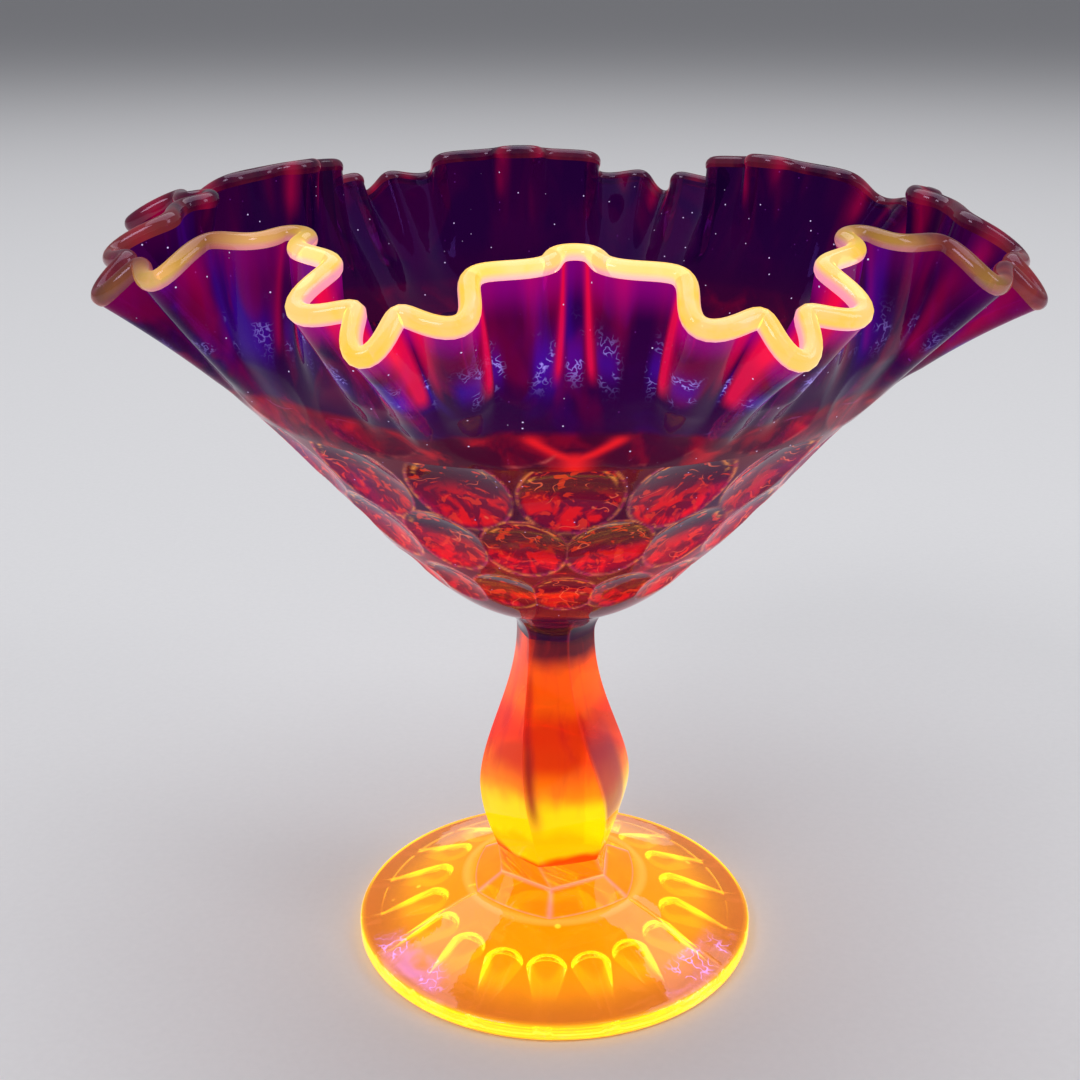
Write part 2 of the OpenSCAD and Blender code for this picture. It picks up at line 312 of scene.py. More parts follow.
class Bench:
    """Lays out nodes in one tree.

    Args:
        tree: The material's or group's node tree.
    """

    def __init__(self, tree: bpy.types.NodeTree) -> None:
        """Starts on a tree."""
        self.tree = tree

    def node(self, kind: str, **settings: Any) -> bpy.types.Node:
        """Adds a node.

        Args:
            kind: The node's type without "ShaderNode".
            settings: Its properties.

        Returns:
            The node.
        """
        made = self.tree.nodes.new("ShaderNode" + kind)
        for name, value in settings.items():
            setattr(made, name, value)
        return made

    def feed(self, socket: bpy.types.NodeSocket, value: Any) -> None:
        """Joins a socket to another socket, or sets its value.

        Args:
            socket: The socket to feed.
            value: The other socket, or a plain value.
        """
        if isinstance(value, bpy.types.NodeSocket):
            self.tree.links.new(value, socket)
        else:
            socket.default_value = value

    def maths(self, operation: str, *values: Any, clamp: bool = False) -> bpy.types.NodeSocket:
        """Does one sum.

        Args:
            operation: The Math node's operation.
            values: Its inputs.
            clamp: Whether the result stays from 0 to 1.

        Returns:
            The result.
        """
        made = self.node("Math", operation=operation, use_clamp=clamp)
        for socket, value in zip(made.inputs, values):
            self.feed(socket, value)
        return made.outputs[0]

    def blend(self, share: Any, a: Any, b: Any, how: str = "MIX") -> bpy.types.NodeSocket:
        """Blends two colours.

        Args:
            share: How much of b.
            a: The first colour.
            b: The second colour.
            how: The Mix node's way of blending.

        Returns:
            The blended colour.
        """
        made = self.node("Mix", data_type="RGBA", blend_type=how)
        self.feed(made.inputs[0], share)
        self.feed(made.inputs[6], a)
        self.feed(made.inputs[7], b)
        return made.outputs[2]

    def span(self, value: Any, low: Any, high: Any) -> bpy.types.NodeSocket:
        """Rises smoothly from 0 where value is low to 1 where it is high.

        Args:
            value: What is measured.
            low: Where the rise starts.
            high: Where the rise ends.

        Returns:
            The share.
        """
        made = self.node("MapRange", interpolation_type="SMOOTHSTEP", clamp=True)
        for socket, v in zip(made.inputs, (value, low, high)):
            self.feed(socket, v)
        return made.outputs[0]

    def mark(self, name: str) -> bpy.types.NodeSocket:
        """The value that the mesh carries under a name."""
        return self.node("Attribute", attribute_name=name).outputs["Fac"]

    def place_mm(self) -> bpy.types.Node:
        """The place on the object in millimetres, split into X, Y and Z.

        Returns:
            The node, with X, Y and Z as its outputs.
        """
        split = self.node("SeparateXYZ")
        self.feed(split.inputs[0], self.place_vector())
        return split

    def place_vector(self) -> bpy.types.NodeSocket:
        """The place on the object in millimetres.

        Returns:
            The place as one vector.
        """
        made = self.node("VectorMath", operation="SCALE")
        self.feed(made.inputs[0], self.node("TexCoord").outputs["Object"])
        made.inputs["Scale"].default_value = 1 / MM
        return made.outputs[0]

    def group(self, tree: bpy.types.NodeTree, **values: Any) -> bpy.types.NodeSocket:
        """Places a group and feeds its inputs.

        Args:
            tree: The group.
            values: Its inputs, with underscores for the spaces in their names.

        Returns:
            The group's output.
        """
        made = self.node("Group", node_tree=tree)
        for name, value in values.items():
            self.feed(made.inputs[name.replace("_", " ")], value)
        return made.outputs[0]

    def times(self, first: Any, *others: Any, clamp: bool = False) -> Any:
        """Multiplies values.

        Args:
            first: The first value.
            others: The other values.
            clamp: Whether each product stays from 0 to 1.

        Returns:
            The product.
        """
        for other in others:
            first = self.maths("MULTIPLY", first, other, clamp=clamp)
        return first

    def plus(self, a: Any, b: Any) -> bpy.types.NodeSocket:
        """Adds two values."""
        return self.maths("ADD", a, b)

    def rest(self, share: Any) -> bpy.types.NodeSocket:
        """What a share leaves of 1."""
        return self.maths("SUBTRACT", 1.0, share)

    def magnitude(self, value: Any) -> bpy.types.NodeSocket:
        """A value without its sign."""
        return self.maths("ABSOLUTE", value)

    def most(self, a: Any, b: Any) -> bpy.types.NodeSocket:
        """The greater of two values."""
        return self.maths("MAXIMUM", a, b)

    def reeds(self, across: float, along: float, low: float, high: float) -> bpy.types.NodeSocket:
        """Uneven streaks: how close they lie across and along, and where they fade in."""
        return self.group(reed_group(), Across=across, Along=along, Low=low, High=high)

    def seeds(self, closeness: float, size: float, share: float) -> bpy.types.NodeSocket:
        """Seed bubbles, painted as glints: how close they lie, how large they are and how many are
        kept.
        """
        return self.group(seed_group(), Closeness=closeness, Size=size, Share=share)

    def gleams(
        self, closeness: float, fine: float, width: float, low: float
    ) -> bpy.types.NodeSocket:
        """Painted wriggling gleams: the size of the patches and lines, and how much they cover."""
        return self.group(gleam_group(), Closeness=closeness, Fine=fine, Width=width, Low=low)

    def bright_side(self, behind: float, before: float) -> bpy.types.NodeSocket:
        """The side painted as lit brightest: 0 behind one depth and 1 before another."""
        return self.group(lamp_group(), Behind=behind, Before=before)

    def struck(self, under: Any, over: Any, start: float, end: float, waver: float) -> Any:
        """A colour struck over another from one height to the next, with a wavering border."""
        return self.group(strike_group(), Under=under, Over=over, Start=start, End=end, Waver=waver)


@dataclass(frozen=True)
class Socket:
    """One socket of a node group.

    Args:
        name: Its name.
        kind: Its type without "NodeSocket".
        value: Its value where nothing is joined to it.
    """

    name: str
    kind: str = "Float"
    value: Any = 0.0


def make_group(
    name: str, inputs: Sequence[Socket], output: Socket, fill: Callable[..., Any]
) -> bpy.types.NodeTree:
    """Makes a node group once.

    Args:
        name: The group's name.
        inputs: Its inputs.
        output: Its output.
        fill: Lays out its inside, given a bench and the input sockets by name, and
            returns what the output shows.

    Returns:
        The group.
    """
    if name in bpy.data.node_groups:
        return bpy.data.node_groups[name]
    tree = bpy.data.node_groups.new(name, "ShaderNodeTree")
    for s in inputs:
        made = tree.interface.new_socket(s.name, in_out="INPUT", socket_type="NodeSocket" + s.kind)
        made.default_value = s.value
    tree.interface.new_socket(output.name, in_out="OUTPUT", socket_type="NodeSocket" + output.kind)
    way_in, way_out = tree.nodes.new("NodeGroupInput"), tree.nodes.new("NodeGroupOutput")
    given = {s.name: way_in.outputs[s.name] for s in inputs}
    tree.links.new(fill(Bench(tree), given), way_out.inputs[0])
    return tree


BLACK: Colour = (0.0, 0.0, 0.0, 1.0)


def strike_group() -> bpy.types.NodeTree:
    """Glass that struck one colour low down and another above, with an uneven border.

    Returns:
        The group.
    """

    def fill(b: Bench, given: dict[str, Any]) -> Any:
        """Lays out the group.

        Args:
            b: Lays out the group's nodes.
            given: The group's inputs by name.

        Returns:
            What the group gives.
        """
        noise = b.node("TexNoise", noise_dimensions="3D")
        b.feed(noise.inputs["Vector"], b.place_vector())
        noise.inputs["Scale"].default_value = 0.08
        noise.inputs["Detail"].default_value = 2.0
        off = b.times(b.maths("SUBTRACT", noise.outputs[0], 0.5), given["Waver"])
        height = b.plus(b.place_mm().outputs[2], off)
        return b.blend(b.span(height, given["Start"], given["End"]), given["Under"], given["Over"])

    return make_group(
        "Struck colour",
        (
            Socket("Under", "Color", BLACK),
            Socket("Over", "Color", BLACK),
            Socket("Start"),
            Socket("End", value=1.0),
            Socket("Waver"),
        ),
        Socket("Colour", "Color"),
        fill,
    )


def seed_group() -> bpy.types.NodeTree:
    """Seed bubbles and specks caught in the glass, painted as glinting points of light.

    Returns:
        The group.
    """

    def fill(b: Bench, given: dict[str, Any]) -> Any:
        """Lays out the group.

        Args:
            b: Lays out the group's nodes.
            given: The group's inputs by name.

        Returns:
            What the group gives.
        """
        cells = b.node("TexVoronoi", voronoi_dimensions="3D", feature="F1")
        b.feed(cells.inputs["Vector"], b.place_vector())
        b.feed(cells.inputs["Scale"], given["Closeness"])
        dot = b.rest(b.span(cells.outputs["Distance"], b.times(given["Size"], 0.5), given["Size"]))
        pick = b.node("SeparateColor")
        b.feed(pick.inputs[0], cells.outputs["Color"])
        kept = b.maths("LESS_THAN", pick.outputs[0], given["Share"])
        return b.times(dot, kept)

    return make_group(
        "Seeds",
        (Socket("Closeness", value=0.3), Socket("Size", value=0.12), Socket("Share", value=0.5)),
        Socket("Mask"),
        fill,
    )


def ripple_group() -> bpy.types.NodeTree:
    """The faint unevenness of a hand-worked surface, as a height.

    Returns:
        The group.
    """

    def fill(b: Bench, given: dict[str, Any]) -> Any:
        """Lays out the group.

        Args:
            b: Lays out the group's nodes.
            given: The group's inputs by name.

        Returns:
            What the group gives.
        """
        broad = b.node("TexNoise", noise_dimensions="3D")
        fine = b.node("TexNoise", noise_dimensions="3D")
        for node, share in ((broad, 1.0), (fine, 4.5)):
            b.feed(node.inputs["Vector"], b.place_vector())
            b.feed(node.inputs["Scale"], b.times(given["Closeness"], share))
            node.inputs["Detail"].default_value = 1.0
        return b.plus(broad.outputs[0], b.times(fine.outputs[0], given["Fine"]))

    return make_group(
        "Ripple",
        (Socket("Closeness", value=0.1), Socket("Fine", value=0.15)),
        Socket("Height"),
        fill,
    )


def reed_group() -> bpy.types.NodeTree:
    """Uneven upright streaks, drawn out along the height.

    Returns:
        The group.
    """

    def fill(b: Bench, given: dict[str, Any]) -> Any:
        """Lays out the group.

        Args:
            b: Lays out the group's nodes.
            given: The group's inputs by name.

        Returns:
            What the group gives.
        """
        stretch = b.node("Mapping", vector_type="POINT")
        b.feed(stretch.inputs["Vector"], b.place_vector())
        size = b.node("CombineXYZ")
        b.feed(size.inputs[0], given["Across"])
        b.feed(size.inputs[1], given["Across"])
        b.feed(size.inputs[2], given["Along"])
        b.feed(stretch.inputs["Scale"], size.outputs[0])
        noise = b.node("TexNoise", noise_dimensions="3D")
        b.feed(noise.inputs["Vector"], stretch.outputs[0])
        noise.inputs["Scale"].default_value = 1.0
        noise.inputs["Detail"].default_value = 3.0
        noise.inputs["Distortion"].default_value = 0.6
        return b.span(noise.outputs[0], given["Low"], given["High"])

    return make_group(
        "Reeds",
        (
            Socket("Across", value=0.2),
            Socket("Along", value=0.03),
            Socket("Low", value=0.4),
            Socket("High", value=0.7),
        ),
        Socket("Mask"),
        fill,
    )


def gleam_group() -> bpy.types.NodeTree:
    """Patches of wriggling gleams, painted reflections where the mould left the surface finely
    pitted.

    Returns:
        The group.
    """

    def fill(b: Bench, given: dict[str, Any]) -> Any:
        """Lays out the group.

        Args:
            b: Lays out the group's nodes.
            given: The group's inputs by name.

        Returns:
            What the group gives.
        """
        patch = b.node("TexNoise", noise_dimensions="3D")
        fine = b.node("TexNoise", noise_dimensions="3D")
        for node, closeness in ((patch, given["Closeness"]), (fine, given["Fine"])):
            b.feed(node.inputs["Vector"], b.place_vector())
            b.feed(node.inputs["Scale"], closeness)
            node.inputs["Detail"].default_value = 1.0
        off = b.magnitude(b.maths("SUBTRACT", fine.outputs[0], 0.5))
        line = b.rest(b.span(off, 0.0, given["Width"]))
        cover = b.span(patch.outputs[0], given["Low"], b.plus(given["Low"], 0.08))
        return b.times(line, cover)

    return make_group(
        "Gleams",
        (
            Socket("Closeness", value=0.09),
            Socket("Fine", value=0.9),
            Socket("Width", value=0.03),
            Socket("Low", value=0.55),
        ),
        Socket("Mask"),
        fill,
    )


def lamp_group() -> bpy.types.NodeTree:
    """The side of the dish painted as lit brightest, 1 at the front and 0 behind.

    Returns:
        The group.
    """

    def fill(b: Bench, given: dict[str, Any]) -> Any:
        """Lays out the group."""
        split = b.place_mm()
        return b.span(b.times(split.outputs[1], -1.0), given["Behind"], given["Before"])

    return make_group(
        "Bright side",
        (Socket("Behind", value=0.0), Socket("Before", value=60.0)),
        Socket("Mask"),
        fill,
    )


def weld_material() -> bpy.types.Material:
    """The joint where two pieces of glass run into each other, which shows nothing.

    Returns:
        The material.
    """
    if "weld" in bpy.data.materials:
        return bpy.data.materials["weld"]
    made = bpy.data.materials.new("weld")
    made.use_nodes = True
    b = Bench(made.node_tree)
    made.node_tree.nodes.clear()
    clear = b.node("BsdfTransparent")
    b.feed(b.node("OutputMaterial").inputs["Surface"], clear.outputs[0])
    return made


@dataclass(frozen=True)
class Glass:
    """The gloss that all of the dish's glass shares, and how clear a piece is.

    Args:
        name: The material's name.
        clear: How much light passes, from 0 to 1.
        rough: Roughness of the fire-polished surface.
        bend: Index of refraction.
        sheen: Tint of its reflections.
        shine: How strongly it reflects, 0.5 for common glass.
        glow: Strength of its painted glow.
        ripple: Height of the surface's unevenness in millimetres.
        closeness: How close together the unevenness lies.
    """

    name: str
    clear: float = 1.0
    rough: float = 0.02
    bend: float = 1.5
    sheen: Colour = (0.42, 0.3, 1.0, 1.0)
    shine: float = 0.5
    glow: float = 1.0
    ripple: float = 0.05
    closeness: float = 0.1

    def material(self, dress: Callable[[Bench], tuple[Any, Any]]) -> bpy.types.Material:
        """Makes the material.

        Args:
            dress: Lays out the body colour and the glow, and returns both.

        Returns:
            The material.
        """
        made = bpy.data.materials.new(self.name)
        made.use_nodes = True
        b = Bench(made.node_tree)
        shader = made.node_tree.nodes["Principled BSDF"]
        body, light = dress(b)
        b.feed(shader.inputs["Base Color"], body)
        b.feed(shader.inputs["Emission Color"], light)
        shader.inputs["Emission Strength"].default_value = self.glow
        shader.inputs["Roughness"].default_value = self.rough
        shader.inputs["IOR"].default_value = self.bend
        shader.inputs["Transmission Weight"].default_value = self.clear
        shader.inputs["Specular Tint"].default_value = self.sheen
        shader.inputs["Specular IOR Level"].default_value = self.shine
        bump = b.node("Bump")
        bump.inputs["Strength"].default_value = 1.0
        bump.inputs["Distance"].default_value = self.ripple * MM
        b.feed(bump.inputs["Height"], b.group(ripple_group(), Closeness=self.closeness))
        b.feed(shader.inputs["Normal"], bump.outputs[0])
        return made


# ---- foot ----


@dataclass(frozen=True)
class AmberHues:
    """Colours of the foot: heart, brim and haze are body colours, sheen tints reflections, and the
    rest are painted glow, highlights, reflections and glints.
    """

    heart: Colour = (0.9, 0.48, 0.02, 1)
    brim: Colour = (0.78, 0.36, 0.1, 1)
    haze: Colour = (0.7, 0.28, 0.14, 1)
    heart_glow: Colour = (0.25, 0.13, 0.001, 1)
    brim_glow: Colour = (0.16, 0.065, 0.01, 1)
    petal: Colour = (0.95, 0.6, 0.0, 1)
    edge: Colour = (0.75, 0.46, 0.0, 1)
    seam: Colour = (0.95, 0.45, 0.12, 1)
    violet: Colour = (0.3, 0.12, 0.55, 1)
    gleam: Colour = (0.45, 0.3, 1.0, 1)
    seed: Colour = (1.0, 0.75, 0.15, 1)
    sheen: Colour = (0.8, 0.55, 1.0, 1)


AMBER = AmberHues()


@dataclass
class Foot:
    """The domed foot with petals pressed into its underside."""

    radius: float = 45.0
    edge_h: float = 3.8
    edge_round: float = 0.9
    height: float = 12.5
    seat_r: float = 20.0
    rest_ring: float = 4.5
    hollow_h: float = 6.6
    hollow_fullness: float = 0.8
    dome_softness: float = 0.25
    petals: int = 18
    petal_turn: float = -4.0
    petal_r: float = 5.6
    petal_depth: float = 1.7
    petal_reach: float = 27.0
    petal_end: float = 36.0
    plinth_r: float = 19.5
    plinth_turn: float = -4.0
    plinth_bulge: float = 0.5
    seams: tuple[float, ...] = (-64.0, 56.0, 176.0)
    seam_h: float = 0.16
    seam_w: float = 0.42
    columns: int = 900

    @property
    def rest_in(self) -> float:
        """Inner radius of the ring that the dish rests on."""
        return self.radius - self.edge_round - self.rest_ring

    def hollow_z(self, r: Any) -> Any:
        """Height of the hollow at a radius."""
        arch = np.clip(cosine(90 * r / self.rest_in), 0, 1)
        return self.hollow_h * np.power(arch, self.hollow_fullness)

    def dome_z(self, r: Any) -> Any:
        """Height of the top at a radius.

        Args:
            r: Distance from the axis.

        Returns:
            The height above the floor.
        """
        out = self.radius - self.edge_round
        t = (out - r) / (out - self.seat_r)
        return mix(self.edge_h, self.height, mix(t, smooth(t), self.dome_softness))

    def petal_z(self, r: float, a: Array) -> Array:
        """Height of the pressed petals where they rise above the hollow.

        Args:
            r: Radius.
            a: Angles round the foot.

        Returns:
            The heights, far below the floor where there is no petal.
        """
        step = FULL_TURN / self.petals
        off = np.mod(a - self.petal_turn + step / 2, step) - step / 2
        across, along = r * sine(off), r * cosine(off)
        drop = self.hollow_z(self.petal_reach) + self.petal_depth - self.petal_r
        fade = self.hollow_z(self.petal_end) - self.petal_r
        slope = (drop - fade) / (self.petal_end - self.petal_reach)
        past = np.maximum(0.0, along - self.petal_reach)
        short = np.minimum(0.0, along - self.petal_reach)
        inside = self.petal_r**2 - across**2 - short**2
        return np.where(
            inside > 0,
            drop - slope * past + np.sqrt(np.maximum(inside, 0)) * math.hypot(1, slope),
            -self.radius,
        )

    def lift(self, r: float, a: Array) -> Array:
        """How far a petal stands above the hollow."""
        return np.maximum(0.0, self.petal_z(r, a) - self.hollow_z(r))

    def seam_at(self, r: float, a: Array) -> Array:
        """The mould seams, 1 along their middles.

        Args:
            r: Distance from the axis.
            a: Angles from the front.

        Returns:
            The share of seam at each angle.
        """
        return sum(
            np.exp(-(((np.mod(a - s + 180, FULL_TURN) - 180) * math.radians(r) / self.seam_w) ** 2))
            for s in self.seams
        )

    def underside(self, r: float, a: Array) -> tuple[Array, Array]:
        """The underside, and the painted light on its petal walls, brighter where they face the
        front.

        Args:
            r: Radius.
            a: Angles round the foot.

        Returns:
            The heights, and the painted light on the petal walls from 0 to 1.
        """
        plain = np.full_like(a, float(self.hollow_z(r)))
        pressed = self.petal_z(r, a)
        rise = np.maximum(plain, pressed)
        nudge = 0.05
        turn = math.degrees(nudge / max(r, 1.0))
        over_r = (self.lift(r + nudge, a) - self.lift(r - nudge, a)) / (2 * nudge)
        over_a = (self.lift(r, a + turn) - self.lift(r, a - turn)) / (2 * nudge)
        steep = np.hypot(over_r, over_a)
        away = -over_r * -cosine(a) - over_a * sine(a)
        # Painted light: petal walls that face the front are lit brighter.
        lit = 0.35 + 0.65 * ramp(away / np.maximum(steep, 1e-6), -0.35, 0.25)
        raised = pressed - plain
        bar = ramp(raised, 0.0, 0.14) * (1 - ramp(raised, 1.05, 1.6)) * ramp(steep, 0.04, 0.16)
        return rise, bar * lit * (1 - float(ramp(r, 32.5, 36.5)))

    def build(self) -> bpy.types.Mesh:
        """Makes the foot's mesh, from the middle of the hollow round to the seat.

        Returns:
            The mesh, in metres.
        """
        a = np.arange(self.columns) * FULL_TURN / self.columns
        skin = Skin()
        near = self.petal_reach - self.petal_r
        radii = np.concatenate([
            np.linspace(0.6, near - 1, 16, endpoint=False),
            np.linspace(near - 1, self.petal_end + 1, 62, endpoint=False),
            np.linspace(self.petal_end + 1, self.rest_in, 10),
        ])
        for r in radii:
            z, lit = self.underside(r, a)
            # petal carries the painted light on the petal walls.
            skin.add(around(r, a, np.maximum(z, 0.0)), petal=lit, under=1.0)
        # The rounded edge, where rim marks its painted glow.
        for turn in np.linspace(0, 90, 9):
            r = self.radius - self.edge_round * (1 - sine(turn))
            skin.add(around(r, a, self.edge_round * (1 - cosine(turn))), rim=ramp(turn, 0, 60))
        for turn in np.linspace(0, 90, 9):
            r = self.radius - self.edge_round * (1 - cosine(turn))
            z = self.edge_h - self.edge_round * (1 - sine(turn))
            skin.add(around(r, a, z), rim=1 - 0.8 * ramp(turn, 30, 90))
        for t in np.linspace(0, 1, 44)[1:]:
            r = mix(self.radius - self.edge_round, self.seat_r, t)
            seam = self.seam_at(r, a) * ramp(t, 0.0, 0.08)
            top = around(r, a, self.dome_z(r) + self.seam_h * seam)
            # ring marks the painted highlight round the seat.
            skin.add(top, seam=seam, ring=ramp(t, 0.93, 0.97))
        edge = six_sided(self.plinth_r, a - self.plinth_turn, self.plinth_bulge)
        skin.add(around(mix(self.seat_r, edge, 0.5), a, self.height), ring=0.5)
        skin.add(around(edge, a, self.height))
        return skin.mesh("foot_glass", Face.GLASS, Face.WELD)

    def dress(self) -> bpy.types.Material:
        """Clear amber glass, with painted glow in the petals, at the edge and along the mould
        seams.

        Returns:
            The material.
        """

        def colours(b: Bench) -> tuple[Any, Any]:
            """Lays out the body colour and the glow.

            Args:
                b: Lays out the material's nodes.

            Returns:
                The body colour and the glow.
            """
            haze = b.reeds(0.07, 0.2, 0.35, 0.75)
            split = b.place_mm()
            squares = [b.maths("POWER", split.outputs[axis], 2.0) for axis in (0, 1)]
            out = b.maths("POWER", b.plus(*squares), 0.5)
            outer = b.span(out, 28.0, 43.0)
            body = b.blend(outer, AMBER.heart, AMBER.brim)
            body = b.blend(b.times(haze, 0.35), body, AMBER.haze)
            glow = b.blend(outer, AMBER.heart_glow, AMBER.brim_glow)
            # Painted glow on the petal walls.
            glow = b.blend(b.mark("petal"), glow, AMBER.petal)
            # Painted glow along the rounded edge, and painted highlights along the mould seams and
            # round the seat.
            glow = b.blend(b.mark("rim"), glow, AMBER.edge)
            line = b.most(b.times(b.mark("seam"), 0.35), b.times(b.mark("ring"), 0.4))
            glow = b.blend(line, glow, AMBER.seam)
            # Painted violet reflections and gleams on the top, near the front corners of the edge.
            aside = b.span(b.magnitude(split.outputs[0]), 22.0, 28.0)
            forward = b.span(b.times(split.outputs[1], -1.0), 12.0, 20.0)
            margin = b.times(b.span(out, 35.0, 38.0), b.span(out, 43.8, 42.0))
            shallow = b.times(b.times(aside, forward), margin, b.rest(b.mark("under")))
            pool = b.times(shallow, b.reeds(0.12, 0.3, 0.42, 0.7))
            glow = b.blend(b.times(pool, 0.7), glow, AMBER.violet)
            glow = b.blend(b.times(b.gleams(0.12, 0.45, 0.05, 0.42), shallow), glow, AMBER.gleam)
            # Seed bubbles under the foot, painted as glints.
            seeds = b.times(b.seeds(0.16, 0.14, 0.3), b.mark("under"))
            return body, b.blend(seeds, glow, AMBER.seed)

        glass = Glass("amber_glass", rough=0.015, ripple=0.1, closeness=0.12, sheen=AMBER.sheen)
        return glass.material(colours)


# ---- plinth and stem ----


def panel_angles(per_panel: int) -> Array:
    """Angles round six panels, closest together at the corners so that these stay crisp.

    Args:
        per_panel: Points on each panel.

    Returns:
        The angles from the first corner.
    """
    t = np.arange(per_panel) / per_panel
    eased = mix(t, smooth(smooth(t)), 0.75)
    return np.concatenate([60 * (k + eased) for k in range(6)])


def corner_mark(a: Array, width: float) -> Array:
    """1 at the corners of a six-sided section, fading over a width in degrees."""
    off = 30 - np.abs(np.mod(a, 60) - 30)
    return np.exp(-((off / width) ** 2))


@dataclass(frozen=True)
class OrangeHues:
    """Colours of the plinth: collar and step are body colours, sheen tints reflections, and the
    rest are painted glow and painted edge highlights.
    """

    collar: Colour = (0.85, 0.12, 0.001, 1)
    step: Colour = (0.9, 0.26, 0.002, 1)
    collar_glow: Colour = (0.5, 0.08, 0.001, 1)
    step_glow: Colour = (0.5, 0.18, 0.001, 1)
    flame: Colour = (0.6, 0.1, 0.002, 1)
    edge: Colour = tint(243, 120, 120)
    sheen: Colour = (1.0, 0.5, 0.6, 1)


ORANGE = OrangeHues()


@dataclass
class Plinth:
    """The sloping six-sided step and the upright collar above it."""

    base_z: float = 12.5
    step_h: float = 3.7
    step_r: float = 19.5
    collar_h: float = 5.3
    collar_r: float = 13.3
    turn: float = -4.0
    collar_twist: float = -12.0
    base_bulge: float = 0.5
    top_bulge: float = 0.02
    panel_bulge: float = 0.22
    per_panel: int = 36

    def build(self) -> bpy.types.Mesh:
        """Makes the plinth's mesh.

        Returns:
            The mesh, in metres.
        """
        a = panel_angles(self.per_panel)
        skin = Skin()
        # edge marks the painted pink highlight: the corners, the foot of the step and its top.
        corner = corner_mark(a, 2.0)
        for t in np.linspace(0, 1, 16):
            wide = six_sided(self.step_r, a, self.base_bulge)
            r = mix(wide, six_sided(self.collar_r, a, self.top_bulge), t)
            brim = 1 - ramp(t, 0.0, 0.07)
            crown = ramp(t, 0.88, 1.0)
            edge = np.maximum(np.maximum(corner, brim * 0.8), crown)
            skin.add(around(r, a + self.turn, self.base_z + self.step_h * t), edge=edge, step=1.0)
        for t in np.linspace(0, 1, 14)[1:]:
            r = six_sided(self.collar_r, a, mix(self.top_bulge, self.panel_bulge, t))
            z = self.base_z + self.step_h + self.collar_h * t
            edge = corner * 0.3 + 0.7 * (1 - ramp(t, 0, 0.1))
            skin.add(around(r, a + self.turn + self.collar_twist * t, z), edge=edge, step=0.0)
        return skin.mesh("plinth_glass", Face.WELD, Face.WELD)

    def dress(self) -> bpy.types.Material:
        """Orange glass with pink light along its edges.

        Returns:
            The material.
        """

        def colours(b: Bench) -> tuple[Any, Any]:
            """Lays out the body colour and the glow.

            Args:
                b: Lays out the material's nodes.

            Returns:
                The body colour and the glow.
            """
            # Painted glow, with painted flame streaks in it.
            flame = b.reeds(0.12, 0.1, 0.35, 0.7)
            body = b.blend(b.mark("step"), ORANGE.collar, ORANGE.step)
            glow = b.blend(b.mark("step"), ORANGE.collar_glow, ORANGE.step_glow)
            glow = b.blend(b.times(flame, 0.45), glow, ORANGE.flame)
            # Painted pink highlights along the edges.
            glow = b.blend(b.mark("edge"), glow, ORANGE.edge)
            return body, glow

        return Glass("orange_glass", clear=0.5, ripple=0.04, sheen=ORANGE.sheen).material(colours)


@dataclass(frozen=True)
class FlameHues:
    """Colours of the stem: those ending in glow, streak and corner are painted glow, shade is
    painted shade, and sheen tints reflections.
    """

    base: Colour = (0.75, 0.03, 0.001, 1)
    yellow: Colour = (0.8, 0.42, 0.001, 1)
    orange: Colour = (0.7, 0.1, 0.001, 1)
    red: Colour = (0.5, 0.01, 0.001, 1)
    blood_orange: Colour = (0.55, 0.03, 0.001, 1)
    neck: Colour = (0.02, 0.001, 0.01, 1)
    base_glow: Colour = (0.6, 0.04, 0.001, 1)
    yellow_glow: Colour = (0.6, 0.42, 0.001, 1)
    orange_glow: Colour = (0.6, 0.14, 0.001, 1)
    red_glow: Colour = (0.4, 0.02, 0.001, 1)
    blood_orange_glow: Colour = (0.52, 0.075, 0.001, 1)
    neck_glow: Colour = (0.012, 0.0, 0.012, 1)
    streak: Colour = (0.26, 0.004, 0.006, 1)
    blaze_glow: Colour = (0.75, 0.05, 0.01, 1)
    blaze: Colour = (0.6, 0.04, 0.01, 1)
    ember_glow: Colour = (0.13, 0.001, 0.004, 1)
    plum_glow: Colour = (0.16, 0.006, 0.028, 1)
    shade: Colour = (0.14, 0.006, 0.02, 1)
    corner: Colour = (0.5, 0.03, 0.02, 1)
    sheen: Colour = (1.0, 0.4, 0.3, 1)


FLAME = FlameHues()


